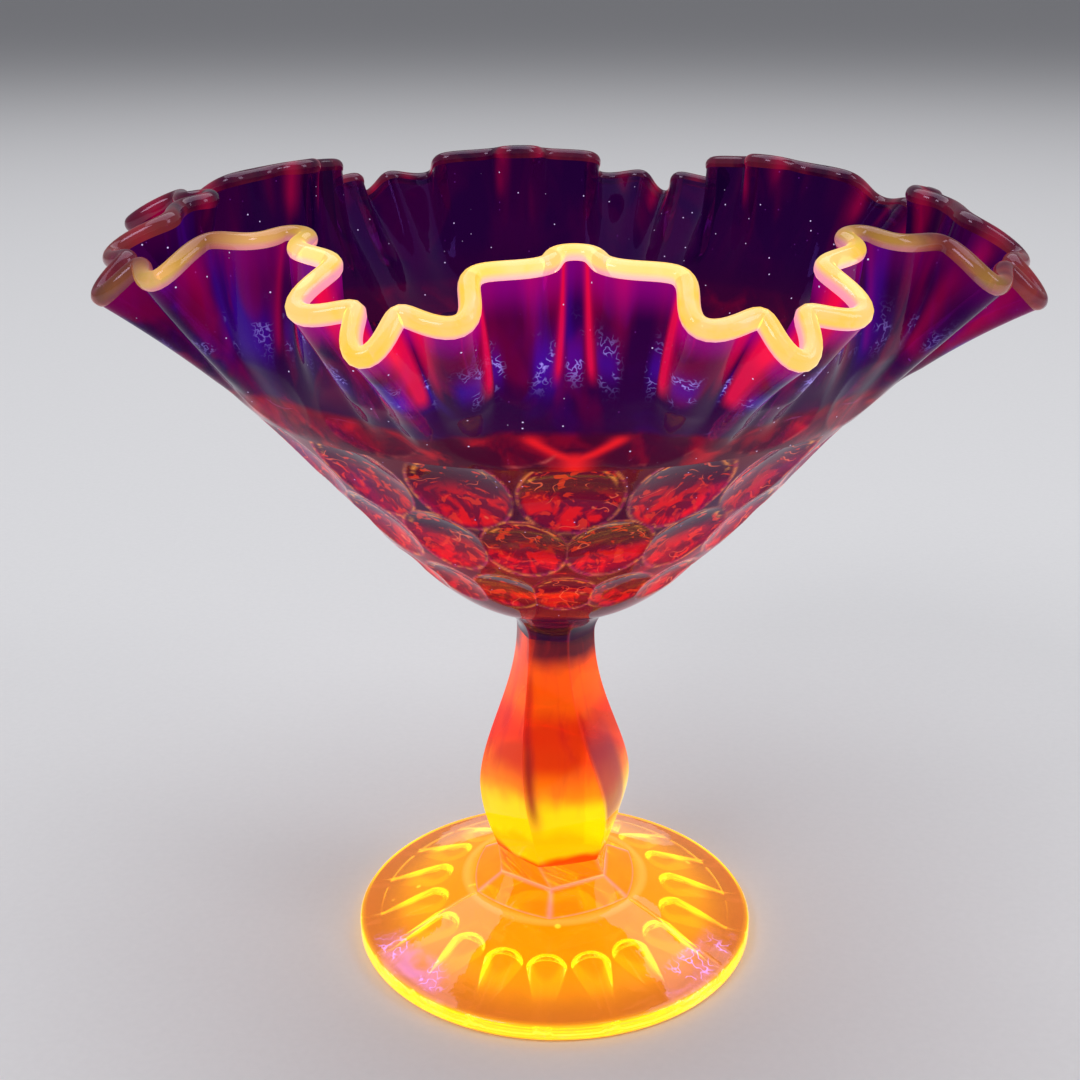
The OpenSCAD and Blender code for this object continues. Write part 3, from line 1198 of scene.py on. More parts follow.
@dataclass
class Stem:
    """The baluster of six twisting panels."""

    base_z: float = 21.5
    height: float = 52.5
    foot_r: float = 13.3
    belly_r: float = 17.0
    belly_at: float = 0.3
    neck_r: float = 8.6
    belly_ease: float = 0.85
    turn: float = -16.0
    twist: float = -26.0
    panel_bulge: float = 0.22
    per_panel: int = 34
    rows: int = 120

    def radius(self, t: float) -> float:
        """Corner radius at a share of the height.

        Args:
            t: Share of the stem's height.

        Returns:
            The radius at the corners.
        """
        if t < self.belly_at:
            return mix(self.foot_r, self.belly_r, sine(90 * t / self.belly_at))
        fall = ((t - self.belly_at) / (1 - self.belly_at)) ** self.belly_ease
        return mix(self.neck_r, self.belly_r, (1 + cosine(180 * fall)) / 2)

    def ember(self, panel: Array, across: Array, t: float) -> Array:
        """The painted dark red shade that runs beside a ridge, on some panels more than others.

        Args:
            panel: Which panel each point is on.
            across: Share of the way across it.
            t: Share of the stem's height.

        Returns:
            The shade from 0 to 1.
        """
        share = np.array([0.95, 0.25, 0.8, 0.25, 0.85, 0.3])[panel]
        line = np.exp(-(((across - 0.07) / mix(0.1, 0.05, t)) ** 2))
        rise = ramp(t, 0.12, 0.34) * (1 - ramp(t, 0.8, 0.95))
        return share * line * rise * mix(1, 0.45, ramp(t, 0.45, 0.7))

    def cool(self, panel: Array, across: Array, t: float) -> Array:
        """The painted plum shade on the panels that face away, half way up.

        Args:
            panel: Which panel each point is on.
            across: Share of the way across it.
            t: Share of the stem's height.

        Returns:
            The cast from 0 to 1.
        """
        share = np.array([0.0, 0.85, 0.0, 0.7, 0.0, 0.0])[panel]
        wide = ramp(across, 0.0, 0.1) * (1 - ramp(across, 0.6, 0.85))
        return share * wide * ramp(t, 0.1, 0.26) * (1 - ramp(t, 0.5, 0.68))

    def blaze(self, turned: Array, t: float) -> Array:
        """The painted highlight that climbs one side of the neck, 1 in its middle."""
        off = np.mod(turned + 60 + 180, FULL_TURN) - 180
        return np.exp(-((off / 17) ** 2)) * ramp(t, 0.72, 0.86)

    def build(self) -> bpy.types.Mesh:
        """Makes the stem's mesh.

        Returns:
            The mesh, in metres.
        """
        a = panel_angles(self.per_panel)
        skin = Skin()
        panel = np.repeat(np.arange(6), self.per_panel)
        across = np.mod(a, 60) / 60
        for t in np.linspace(0, 1, self.rows):
            r = six_sided(self.radius(t), a, self.panel_bulge)
            turned = a + self.turn + self.twist * smooth(t)
            skin.add(
                around(r, turned, self.base_z + self.height * t),
                corner=corner_mark(a, 1.6),
                # ember marks painted shade beside the ridges.
                ember=self.ember(panel, across, t),
                cool=self.cool(panel, across, t),
                blaze=self.blaze(turned, t),
            )
        return skin.mesh("stem_glass", Face.WELD, Face.WELD)

    def dress(self) -> bpy.types.Material:
        """Glass struck from yellow at the belly through orange-red to plum at the neck, with
        painted glow, highlight and shade.

        Returns:
            The material.
        """

        def colours(b: Bench) -> tuple[Any, Any]:
            """Lays out the body colour and the glow.

            Args:
                b: Lays out the material's nodes.

            Returns:
                The body colour and the glow.
            """

            def struck(stops: Sequence[tuple[Colour, float, float]], first: Colour) -> Any:
                """Chains struck colours upwards.

                Args:
                    stops: Each colour with the heights where it starts and is full.
                    first: The lowest colour.

                Returns:
                    The chained colour.
                """
                colour: Any = first
                for over, start, end in stops:
                    colour = b.struck(colour, over, start, end, 9.0)
                return colour

            body = struck(
                (
                    (FLAME.yellow, 22.0, 25.0),
                    (FLAME.orange, 36.0, 42.0),
                    (FLAME.red, 40.0, 48.0),
                    (FLAME.blood_orange, 55.0, 61.0),
                    (FLAME.neck, 67.0, 71.5),
                ),
                FLAME.base,
            )
            # The glow is painted light, struck in the same steps as the body.
            glow = struck(
                (
                    (FLAME.yellow_glow, 22.0, 25.0),
                    (FLAME.orange_glow, 36.0, 42.0),
                    (FLAME.red_glow, 40.0, 48.0),
                    (FLAME.blood_orange_glow, 54.0, 61.0),
                    (FLAME.neck_glow, 67.0, 71.5),
                ),
                FLAME.base_glow,
            )
            flame = b.reeds(0.22, 0.05, 0.42, 0.72)
            above = b.span(b.place_mm().outputs[2], 33.0, 42.0)
            glow = b.blend(b.times(flame, b.times(above, 0.75)), glow, FLAME.streak)
            # A painted highlight up one side of the neck, in the glow and the body.
            glow = b.blend(b.mark("blaze"), glow, FLAME.blaze_glow)
            body = b.blend(b.mark("blaze"), body, FLAME.blaze)
            # Painted shade beside the ridges and on the panels that face away, in the glow and the
            # body.
            for mark, colour in (("ember", FLAME.ember_glow), ("cool", FLAME.plum_glow)):
                glow = b.blend(b.mark(mark), glow, colour)
                body = b.blend(b.mark(mark), body, FLAME.shade)
            edge = b.mark("corner")
            glow = b.blend(b.times(edge, b.times(above, 0.3)), glow, FLAME.corner)
            return body, glow

        glass = Glass("flame_glass", clear=0.55, ripple=0.06, sheen=FLAME.sheen, shine=0.4)
        return glass.material(colours)


@dataclass(frozen=True)
class NeckHues:
    """Colours of the neck flare: dark and flame are body colours, flame lying under a painted
    highlight, and the rest are painted glow.
    """

    dark: Colour = (0.02, 0.0005, 0.008, 1)
    flame: Colour = (0.4, 0.01, 0.004, 1)
    dark_glow: Colour = (0.008, 0.0, 0.008, 1)
    flame_glow: Colour = (0.7, 0.03, 0.012, 1)
    corner: Colour = (0.5, 0.04, 0.08, 1)


NECK = NeckHues()


@dataclass
class NeckFlare:
    """The flare between the stem's neck and the bowl."""

    base_z: float = 74.0
    height: float = 8.0
    neck_r: float = 8.6
    top_r: float = 14.5
    sweep: float = 1.9
    turn: float = -42.0
    panel_bulge: float = 0.22
    per_panel: int = 34

    def build(self) -> bpy.types.Mesh:
        """Makes the flare's mesh.

        Returns:
            The mesh, in metres.
        """
        a = panel_angles(self.per_panel)
        skin = Skin()
        for t in np.linspace(0, 1, 30):
            bulge = mix(self.panel_bulge, 1, smooth(t))
            r = six_sided(mix(self.neck_r, self.top_r, t**self.sweep), a, bulge)
            turned = np.mod(a + self.turn + 180, FULL_TURN) - 180
            # flame marks a painted highlight up the front left and, fainter, at the back.
            front = np.exp(-(((turned + 60) / mix(17.0, 30.0, t)) ** 2))
            flame = front + 0.8 * np.exp(-(((turned - 165) / 30) ** 2))
            skin.add(
                around(r, turned, self.base_z + self.height * t),
                corner=corner_mark(a, 2.0) * (1 - t), flame=flame * (1 - ramp(t, 0.86, 0.97)),
            )
        return skin.mesh("neck_flare_glass", Face.WELD, Face.WELD)

    def dress(self) -> bpy.types.Material:
        """Dark plum-red glass with a painted highlight running up from the stem.

        Returns:
            The material.
        """

        def colours(b: Bench) -> tuple[Any, Any]:
            """Lays out the body colour and the glow.

            Args:
                b: Lays out the material's nodes.

            Returns:
                The body colour and the glow.
            """
            uneven = b.reeds(0.15, 0.5, 0.2, 0.55)
            # The painted highlight, in the body and the glow.
            flame = b.times(b.mark("flame"), uneven)
            body = b.blend(flame, NECK.dark, NECK.flame)
            glow = b.blend(flame, NECK.dark_glow, NECK.flame_glow)
            return body, b.blend(b.times(b.mark("corner"), 0.3), glow, NECK.corner)

        return Glass("neck_ruby_glass", ripple=0.08, bend=1.4, shine=0.25).material(colours)


# ---- bowl ----


@dataclass(frozen=True)
class RubyHues:
    """Colours of the bowl: low and high are body colours, sheen tints reflections, the shade
    colours and those of the dark band at its foot are painted shade, and the rest are painted
    light.
    """

    low: Colour = (0.1, 0.002, 0.006, 1)
    high: Colour = (0.04, 0.001, 0.012, 1)
    low_glow: Colour = (0.05, 0.001, 0.012, 1)
    high_glow: Colour = (0.02, 0.0, 0.024, 1)
    cast: Colour = (0.028, 0.0005, 0.07, 1)
    brink: Colour = (0.085, 0.001, 0.012, 1)
    fire: Colour = (0.66, 0.005, 0.008, 1)
    shade: Colour = (0.012, 0.0005, 0.008, 1)
    shade_glow: Colour = (0.02, 0.0, 0.022, 1)
    spill: Colour = (0.7, 0.03, 0.012, 1)
    vein: Colour = (0.8, 0.12, 0.06, 1)
    brow: Colour = (0.75, 0.24, 0.05, 1)
    pink_line: Colour = (0.34, 0.02, 0.09, 1)
    gold_line: Colour = (0.75, 0.2, 0.06, 1)
    seed: Colour = (0.6, 0.4, 0.9, 1)
    heel: Colour = (0.01, 0.0005, 0.008, 1)
    heel_glow: Colour = (0.006, 0.0, 0.012, 1)
    sheen: Colour = (0.5, 0.15, 1.0, 1)


RUBY = RubyHues()


@dataclass
class Bowl:
    """The bowl with three staggered rows of thumbprints."""

    base_z: float = 82.0
    height: float = 48.0
    radius: float = 63.5
    seat_r: float = 15.5
    flare_r: float = 14.5
    wall: float = 6.2
    floor: float = 6.0
    prints: int = 18
    print_turn: float = 2.0
    print_rows: int = 3
    print_first: float = 0.37
    print_pitch: float = 0.245
    print_r: tuple[float, float] = (30.0, 44.0)
    print_depth: tuple[float, float] = (1.2, 1.6)
    columns: int = 1080
    rows: int = 128
    inner_rows: int = 36

    def outside(self, t: Any) -> Array:
        """The outer outline as radius and height.

        Args:
            t: Shares of the way from the seat to the top.

        Returns:
            The radii and heights.
        """
        top = self.base_z + self.height
        low, high = (self.seat_r, self.base_z), (self.radius, top)
        return curve((low, (low[0] + 13, low[1] + 4), (high[0] - 14.5, high[1] - 15), high), t)

    def inside(self, t: Any) -> Array:
        """The inner outline as radius and height.

        Args:
            t: Shares of the way from the middle to the top.

        Returns:
            The radii and heights.
        """
        top = self.base_z + self.height
        low, high = (0.0, self.base_z + self.floor), (self.radius - self.wall, top)
        return curve((low, (low[0] + 24, low[1] - 1), (high[0] - 13.8, high[1] - 16), high), t)

    def out(self, t: float) -> Array:
        """Outward direction of the outer outline."""
        step = unit(self.outside(t + 0.01) - self.outside(t - 0.01))
        return np.array([step[1], -step[0]])

    def prints_at(self) -> list[tuple[Array, float, float]]:
        """The pressing tools: each one's middle, its radius and the height of its print.

        Returns:
            One entry for each tool.
        """
        made = []
        for row in range(self.print_rows):
            share = row / (self.print_rows - 1)
            tool = mix(*self.print_r, math.sqrt(share))
            depth = mix(*self.print_depth, share)
            t = self.print_first + self.print_pitch * row
            r, z = self.outside(t) + self.out(t) * (tool - depth)
            for i in range(self.prints):
                turn = self.print_turn + (i + (row % 2) / 2) * FULL_TURN / self.prints
                made.append((around(r, turn, z), tool, float(self.outside(t)[1])))
        return made

    def press(self, points: Array, outward: Array) -> tuple[Array, Array, Array, Array]:
        """Presses the thumbprints into a row of points.

        Args:
            points: The points of the plain outline.
            outward: Its outward directions.

        Returns:
            The pressed points, the ridges where prints meet, how high each point lies in
            its print from -1 to 1, and the depth below the plain outline.
        """
        best = np.full(len(points), -9.0)
        second = np.full(len(points), -9.0)
        up = np.zeros(len(points))
        for middle, tool, height in self.prints_at():
            to = points - middle
            along = (to * outward).sum(-1)
            square = tool**2 - (to * to).sum(-1) + along**2
            # The tool meets the line through the point at the inner of two places.
            cut = np.where(square > 0, along + np.sqrt(np.maximum(square, 0.0)), -9.0)
            cut = np.where(np.abs(along) < tool * 2, cut, -9.0)
            reach = math.sqrt(tool**2 - (tool - 1.4) ** 2)
            level = (points[:, 2] - height) / reach
            higher = cut > best
            second = np.where(higher, best, np.maximum(second, cut))
            up = np.where(higher, level, up)
            best = np.maximum(best, cut)
        depth = np.maximum(best, 0.0)
        ridge = np.exp(-(((best - np.maximum(second, 0.0)) / 0.1) ** 2)) * (best > -0.6)
        return points - outward * depth[:, None], ridge, np.where(best > 0, up, 0.0), depth

    def build(self) -> bpy.types.Mesh:
        """Makes the bowl's mesh, from its seat up the outside and down the inside.

        Returns:
            The mesh, in metres.
        """
        a = np.arange(self.columns) * FULL_TURN / self.columns
        skin = Skin()
        skin.add(around(self.flare_r, a, self.base_z))
        skin.add(around(self.seat_r, a, self.base_z))
        for t in np.linspace(0, 1, self.rows)[1:]:
            r, z = self.outside(t)
            nr, nz = self.out(t)
            pressed, ridge, up, depth = self.press(around(r, a, z), around(nr, a, nz))
            # Where the painted gold reflection arcs along the top edge of each print.
            brow = np.exp(-(((depth - 0.42) / 0.1) ** 2)) * ramp(up, 0.15, 0.45)
            skin.add(pressed, ridge=ridge, up=up, depth=depth, brow=brow, outer=1.0)
        for j, t in enumerate(np.linspace(1, 0.02, self.inner_rows)):
            r, z = self.inside(t)
            skin.add(around(r, a, z), Face.GLASS if j else Face.WELD)
        return skin.mesh("bowl_glass", Face.WELD, Face.GLASS)

    def dress(self) -> bpy.types.Material:
        """Deep ruby glass with a painted red glow low in the thumbprints and painted gold
        highlights along their ridges.

        Returns:
            The material.
        """

        def colours(b: Bench) -> tuple[Any, Any]:
            """Lays out the body colour and the glow.

            Args:
                b: Lays out the material's nodes.

            Returns:
                The body colour and the glow.
            """
            outer = b.mark("outer")
            split = b.place_mm()
            flank = b.span(b.magnitude(split.outputs[0]), 20.0, 46.0)
            flame = b.reeds(0.26, 0.17, 0.46, 0.6)
            low = b.span(b.mark("up"), 0.3, -0.45)
            pit = b.span(b.mark("depth"), 0.0, 0.4)
            body = b.struck(RUBY.low, RUBY.high, 98.0, 130.0, 10.0)
            glow = b.struck(RUBY.low_glow, RUBY.high_glow, 94.0, 120.0, 8.0)
            # Painted violet light on the flanks.
            cast = b.reeds(0.06, 0.05, 0.35, 0.65)
            glow = b.blend(b.times(flank, cast), glow, RUBY.cast)
            # Painted glow along the top of the bowl.
            brink = b.times(b.span(split.outputs[2], 121.0, 129.0), outer)
            glow = b.blend(brink, glow, RUBY.brink)
            # Painted red glow in the lower part of each print, weaker on the flanks.
            fire = b.times(b.times(low, pit), b.plus(b.times(flame, 0.8), 0.2))
            fire = b.times(fire, b.rest(b.times(flank, 0.55)))
            glow = b.blend(b.times(fire, outer), glow, RUBY.fire)
            shade = b.times(b.times(b.span(b.mark("up"), -0.1, 0.4), pit), outer)
            body = b.blend(shade, body, RUBY.shade)
            glow = b.blend(b.times(shade, 0.75), glow, RUBY.shade_glow)
            # Painted red glow spilling in streaks through the prints.
            spill = b.times(b.reeds(0.4, 0.3, 0.58, 0.64), pit)
            glow = b.blend(b.times(spill, b.times(outer, 0.7)), glow, RUBY.spill)
            # Painted caustic lines of light in the prints.
            veins = b.gleams(0.16, 0.2, 0.016, 0.52)
            veins = b.times(veins, b.times(pit, outer))
            glow = b.blend(b.times(veins, 0.8), glow, RUBY.vein)
            gold = b.reeds(0.5, 0.5, 0.4, 0.62)
            # Painted gold reflection along the top edge of each print.
            brow = b.times(b.times(b.mark("brow"), gold), 0.9)
            glow = b.blend(brow, glow, RUBY.brow)
            # Painted pink and gold highlights along the ridges between the prints, broken up
            # unevenly.
            line = b.blend(gold, RUBY.pink_line, RUBY.gold_line)
            worn = b.reeds(0.11, 0.11, 0.34, 0.56)
            ridge = b.times(b.mark("ridge"), b.plus(b.times(worn, 0.65), 0.2))
            glow = b.blend(ridge, glow, line)
            # Seed bubbles, painted as glints.
            seeds = b.seeds(0.45, 0.08, 0.25)
            glow = b.blend(seeds, glow, RUBY.seed)
            # Painted shade: a dark band at the foot of the bowl, except on its left.
            foot = b.span(split.outputs[2], 85.2, 83.6)
            heel = b.times(foot, b.span(split.outputs[0], -9.0, -6.0))
            return b.blend(heel, body, RUBY.heel), b.blend(heel, glow, RUBY.heel_glow)

        glass = Glass(
            "ruby_glass", ripple=0.05, closeness=0.2, sheen=RUBY.sheen, shine=0.15, bend=1.22
        )
        return glass.material(colours)


# ---- crimped rim ----


@dataclass(frozen=True)
class PlumHues:
    """Colours of the skirt: low and high are body colours, red is the body under the painted red
    light, sheen tints reflections, and the rest are painted light.
    """

    low: Colour = (0.035, 0.001, 0.008, 1)
    high: Colour = (0.014, 0.0005, 0.022, 1)
    behind_glow: Colour = (0.006, 0.0, 0.016, 1)
    front_glow: Colour = (0.022, 0.0, 0.034, 1)
    violet: Colour = (0.035, 0.002, 0.24, 1)
    wine: Colour = (0.14, 0.0, 0.03, 1)
    magenta: Colour = (0.24, 0.0, 0.17, 1)
    red_glow: Colour = (0.66, 0.003, 0.05, 1)
    red: Colour = (0.16, 0.002, 0.02, 1)
    dusk: Colour = (0.05, 0.0005, 0.012, 1)
    ember: Colour = (0.2, 0.001, 0.01, 1)
    fork: Colour = (0.8, 0.01, 0.012, 1)
    line: Colour = (0.5, 0.08, 0.08, 1)
    halo: Colour = (0.045, 0.004, 0.42, 1)
    gleam: Colour = (0.42, 0.3, 1.0, 1)
    seed: Colour = (0.75, 0.6, 1.0, 1)
    sheen: Colour = (0.3, 0.12, 1.0, 1)


PLUM = PlumHues()


@dataclass(frozen=True)
class MilkHues:
    """Colours of the lip: those ending in body are body colours painted lit at the front and shaded
    behind, sheen tints reflections, and the rest are painted glow.
    """

    yellow: Colour = (0.85, 0.56, 0.03, 1)
    cream: Colour = (0.85, 0.6, 0.16, 1)
    pink: Colour = (0.8, 0.3, 0.42, 1)
    brown: Colour = (0.06, 0.005, 0.014, 1)
    amber: Colour = (0.2, 0.035, 0.02, 1)
    plum: Colour = (0.01, 0.0, 0.012, 1)
    wine: Colour = (0.07, 0.006, 0.016, 1)
    red: Colour = (0.28, 0.004, 0.03, 1)
    back_body: Colour = (0.02, 0.001, 0.012, 1)
    side_body: Colour = (0.06, 0.01, 0.014, 1)
    front_body: Colour = (0.62, 0.38, 0.1, 1)
    sheen: Colour = (0.9, 0.7, 1, 1)


MILK = MilkHues()


@dataclass
class Rim:
    """The crimped skirt and its rounded lip."""

    bowl_r: float = 63.5
    bowl_wall: float = 6.2
    base_z: float = 130.0
    length: float = 36.5
    wall: float = 3.0
    lobes: int = 8
    crimps: int = 5
    valley_turn: float = 21.4
    lean_mean: float = 26.8
    lean_swing: float = 17.4
    crimp_lean: float = 4.8
    crimp_fold: float = 2.0
    crimp_crowd: float = 50.0
    hand_drift: float = 5.1
    hand_lean: float = 2.6
    drift_at: float = 64.0
    lean_at: float = 105.0
    crimp_rest: float = 0.22
    crimp_growth: float = 2.0
    joint_blend: float = 0.33
    square_share: float = 0.36
    prints: int = 18
    print_turn: float = 2.0
    print_at: float = 0.27
    print_tall: float = 0.24
    print_fill: float = 0.82
    print_depth: float = 0.9
    fork_x: float = 2.3
    bead_swell: float = 0.25
    columns: int = 960
    rows: int = 56
    nudge: float = 0.01

    def round_lobes(self, a: Array) -> Array:
        """Angle from the first valley, with the slight drift of the hand."""
        return a - self.valley_turn - self.hand_drift * (1 - cosine(a - self.drift_at))

    def crimp(self, a: Array) -> Array:
        """The crimps, 1 and -1 on their crests and 0 between them."""
        u = self.lobes * self.round_lobes(a)
        return cosine(self.crimps * u + self.crimp_crowd * sine(u))

    def mid(self, a: Array, v: float) -> Array:
        """The middle of the wall.

        Args:
            a: Angles round the rim.
            v: Share of the way from the bowl to the lip.

        Returns:
            The points.
        """
        u = self.lobes * self.round_lobes(a)
        wave, side, crimp = cosine(u), sine(u), self.crimp(a)
        strength = mix(self.crimp_rest, 1, (1 + wave) / 2)
        broad = self.lean_mean + self.lean_swing * wave + self.hand_lean * cosine(a - self.lean_at)
        full = broad + self.crimp_lean * crimp * strength

        def lip_at(lean: Array) -> Array:
            """The end of a wall that leans."""
            r = self.bowl_r + self.length * sine(lean)
            return np.stack([r, self.base_z + self.length * cosine(lean)], -1)

        low = np.array([self.bowl_r - self.bowl_wall / 2, self.base_z])
        handle = low + unit(np.array([14.5, 15.0])) * self.length / 2
        p = low * (1 - v) ** 2 + handle * 2 * v * (1 - v) + lip_at(broad) * v**2
        grow = np.sign(v) * abs(v) ** self.crimp_growth
        p = p + (lip_at(full) - lip_at(broad)) * grow
        return around(p[:, 0], a + self.crimp_fold * crimp * side * grow, p[:, 1])

    def along(self, a: Array, v: float) -> Array:
        """Direction from the bowl to the lip."""
        return unit(self.mid(a, v + self.nudge) - self.mid(a, v - self.nudge))

    def out(self, a: Array, v: float) -> Array:
        """Outward direction, square to the wall."""
        round_ = self.mid(a + self.nudge, v) - self.mid(a - self.nudge, v)
        return unit(np.cross(round_, self.along(a, v)))

    def half(self, a: Array, v: float) -> Array:
        """From the middle of the wall to its outer face."""
        square = self.out(a, v) * mix(self.bowl_wall * self.square_share, self.wall / 2, v)
        return mix(around(self.bowl_wall / 2, a, 0), square, smooth(min(1.0, v / self.joint_blend)))

    def print_share(self, a: Array, v: float) -> Array:
        """1 in the middle of a high thumbprint, 0 on its edge and below 0 outside it.

        Args:
            a: Angles from the front.
            v: Share of the way up the skirt.

        Returns:
            The share at each angle.
        """
        pitch = FULL_TURN / self.prints
        turned = a - self.print_turn
        off = np.mod(turned, pitch) - pitch / 2
        across = off / (pitch / 2 * self.print_fill)
        return 1 - across**2 - ((v - self.print_at) / self.print_tall) ** 2

    def fold(self, a: Array, v: float) -> Array:
        """How far the wall turns sideways, which is where light gathers in a crimp."""
        side = np.abs((self.out(a, v) * around(1.0, a + 90, 0)).sum(-1))
        return np.exp(-((self.crimp(a) / 0.55) ** 2)) * ramp(side, 0.17, 0.42)

    def fork(self, a: Array, v: float) -> Array:
        """The forked light between two high thumbprints, 1 along its stem and its two arms.

        Args:
            a: Angles from the front.
            v: Share of the way up the skirt.

        Returns:
            The share at each angle.
        """
        pitch = FULL_TURN / self.prints
        off = np.abs(np.mod(a - self.print_turn + pitch / 2, pitch) - pitch / 2)
        arm = 6.4 * float(ramp(v, 0.08, 0.27))
        reach = (1 - ramp(v, 0.24, 0.3)) * ramp(v, -0.02, 0.02)
        crotch = np.exp(-((off / 2.4) ** 2)) * (1 - ramp(v, 0.12, 0.2))
        arms = np.exp(-(((off - arm) / mix(2.2, 1.3, min(1.0, v / 0.25))) ** 2))
        return np.maximum(arms, crotch) * reach

    def pool(self, a: Array, v: float) -> Array:
        """Where the light pools on the crests between the folds, half way up."""
        return ramp(np.abs(self.crimp(a)), 0.6, 0.95) * np.exp(-(((v - 0.66) / 0.08) ** 2))

    def build_skirt(self) -> bpy.types.Mesh:
        """Makes the skirt's mesh, up the outside and down the inside.

        Returns:
            The mesh, in metres.
        """
        a = np.arange(self.columns) * FULL_TURN / self.columns
        skin = Skin()
        for v in np.linspace(0, 1, self.rows):
            share = self.print_share(a, v)
            depth = self.print_depth * np.maximum(0, share)
            point = self.mid(a, v) + self.half(a, v) - self.out(a, v) * depth[:, None]
            ridge = np.exp(-((share / 0.07) ** 2)) * (1 - ramp(v, 0.1, 0.2))
            skin.add(
                point,
                rise=v,
                fold=self.fold(a, v),
                ridge=ridge,
                fork=self.fork(a, v),
                pool=self.pool(a, v),
                outer=1.0,
            )
        for j, v in enumerate(np.linspace(1, 0, self.rows - 8)):
            point = self.mid(a, v) - self.half(a, v)
            skin.add(point, Face.GLASS if j else Face.WELD, rise=v, fold=self.fold(a, v), outer=0.0)
        return skin.mesh("skirt_glass", None, None)

    def build_lip(self) -> bpy.types.Mesh:
        """Makes the lip's mesh, rolled over from the outer edge to the inner edge.

        Returns:
            The mesh, in metres.
        """
        a = np.arange(self.columns) * FULL_TURN / self.columns
        bead = self.wall / 2 + self.bead_swell
        tuck = math.degrees(math.acos(self.wall / 2 / bead))
        middle, out, along = self.mid(a, 1.0), self.out(a, 1.0), self.along(a, 1.0)
        skin = Skin()
        for roll in np.linspace(-tuck, 180 + tuck, 24):
            point = middle + out * bead * cosine(roll) + along * bead * (sine(roll) + sine(tuck))
            skin.add(point, roll=roll / 180, fold=self.fold(a, 1.0))
        return skin.mesh("lip_glass", None, None)

    def dress_skirt(self) -> bpy.types.Material:
        """Dark plum glass, with painted red light in the crimps and painted magenta glow below the
        lip.

        Returns:
            The material.
        """

        def colours(b: Bench) -> tuple[Any, Any]:
            """Lays out the body colour and the glow.

            Args:
                b: Lays out the material's nodes.

            Returns:
                The body colour and the glow.
            """
            rise, outer = b.mark("rise"), b.mark("outer")
            # Painted light, brightest at the front.
            front = b.bright_side(42.0, 84.0)
            near = b.bright_side(-10.0, 80.0)
            body = b.blend(b.span(rise, 0.0, 0.6), PLUM.low, PLUM.high)
            glow = b.blend(near, PLUM.behind_glow, PLUM.front_glow)
            upper = b.plus(b.times(b.span(rise, 0.45, 0.62), 0.85), 0.15)
            # Painted violet reflections in upright streaks, brighter at the front and higher up.
            glow = b.blend(b.times(b.reeds(0.09, 0.012, 0.5, 0.7), near, upper), glow, PLUM.violet)
            # Painted wine-red glow in streaks on the outside.
            wine = b.times(b.reeds(0.08, 0.03, 0.46, 0.62), b.times(outer, b.span(rise, 0.25, 0.6)))
            glow = b.blend(b.times(wine, 0.75), glow, PLUM.wine)
            # Painted magenta glow below the lip, brightest at the front.
            below_lip = b.plus(b.times(front, 0.75), b.times(near, 0.14))
            glow = b.blend(b.times(b.span(rise, 0.84, 1.0), below_lip), glow, PLUM.magenta)
            # Painted red light gathered in the crimps, in the glow and the body.
            lit = b.most(b.times(front, 1.5), b.times(b.reeds(0.05, 0.02, 0.46, 0.62), 0.24))
            reach = b.blend(outer, b.span(rise, 0.74, 0.92), b.span(rise, 0.52, 0.64))
            red = b.times(b.times(b.mark("fold"), reach), lit, clamp=True)
            glow = b.blend(red, glow, PLUM.red_glow)
            body = b.blend(red, body, PLUM.red)
            # Painted dusky red glow low on the outside.
            low = b.times(b.span(rise, 0.33, 0.27), outer)
            ember = b.reeds(0.14, 0.14, 0.42, 0.68)
            glow = b.blend(b.times(low, 0.9), glow, b.blend(ember, PLUM.dusk, PLUM.ember))
            # Painted forked light between the high prints, strongest near the middle at the front.
            across = b.magnitude(b.maths("SUBTRACT", b.place_mm().outputs[0], self.fork_x))
            ahead = b.times(b.span(across, 15.0, 8.0), b.span(front, 0.0, 0.2))
            seen = b.most(ahead, b.times(ember, 0.34))
            glow = b.blend(b.times(b.mark("fork"), outer, seen), glow, PLUM.fork)
            # Painted highlights along the ridges of the prints.
            line = b.times(b.times(b.mark("ridge"), outer), b.times(ember, 0.8))
            glow = b.blend(line, glow, PLUM.line)
            # Painted violet halo and gleams where the light pools on the crests, brighter at the
            # front.
            fronted = b.times(b.plus(b.times(front, 0.7), b.times(near, 0.3)), outer)
            gleam = b.times(b.gleams(0.24, 0.9, 0.07, 0.5), b.mark("pool"), fronted)
            halo = b.times(b.mark("pool"), fronted)
            glow = b.blend(b.times(halo, 0.5), glow, PLUM.halo)
            glow = b.blend(gleam, glow, PLUM.gleam)
            # Seed bubbles, painted as glints.
            return body, b.blend(b.seeds(0.45, 0.09, 0.3), glow, PLUM.seed)

        glass = Glass(
            "plum_glass", ripple=0.08, closeness=0.13, sheen=PLUM.sheen, shine=0.12, bend=1.18
        )
        return glass.material(colours)

    def dress_lip(self) -> bpy.types.Material:
        """Painted milky yellow glow at the front with pink edges, fading to plum behind, as if lit
        from the front.

        Returns:
            The material.
        """

        def colours(b: Bench) -> tuple[Any, Any]:
            """Lays out the body colour and the glow.

            Args:
                b: Lays out the material's nodes.

            Returns:
                The body colour and the glow.
            """
            # Painted light: the lip is lit at the front and shaded at the sides and behind, in the
            # glow and the body.
            front = b.bright_side(44.0, 64.0)
            side = b.bright_side(5.0, 56.0)
            cloud = b.reeds(0.1, 0.1, 0.35, 0.65)
            roll = b.mark("roll")
            rim = b.magnitude(b.maths("SUBTRACT", roll, 0.42))
            pink = b.span(rim, 0.3, 0.55)
            milk = b.blend(cloud, MILK.yellow, MILK.cream)
            milk = b.blend(pink, milk, MILK.pink)
            amber = b.blend(cloud, MILK.brown, MILK.amber)
            back = b.blend(cloud, MILK.plum, MILK.wine)
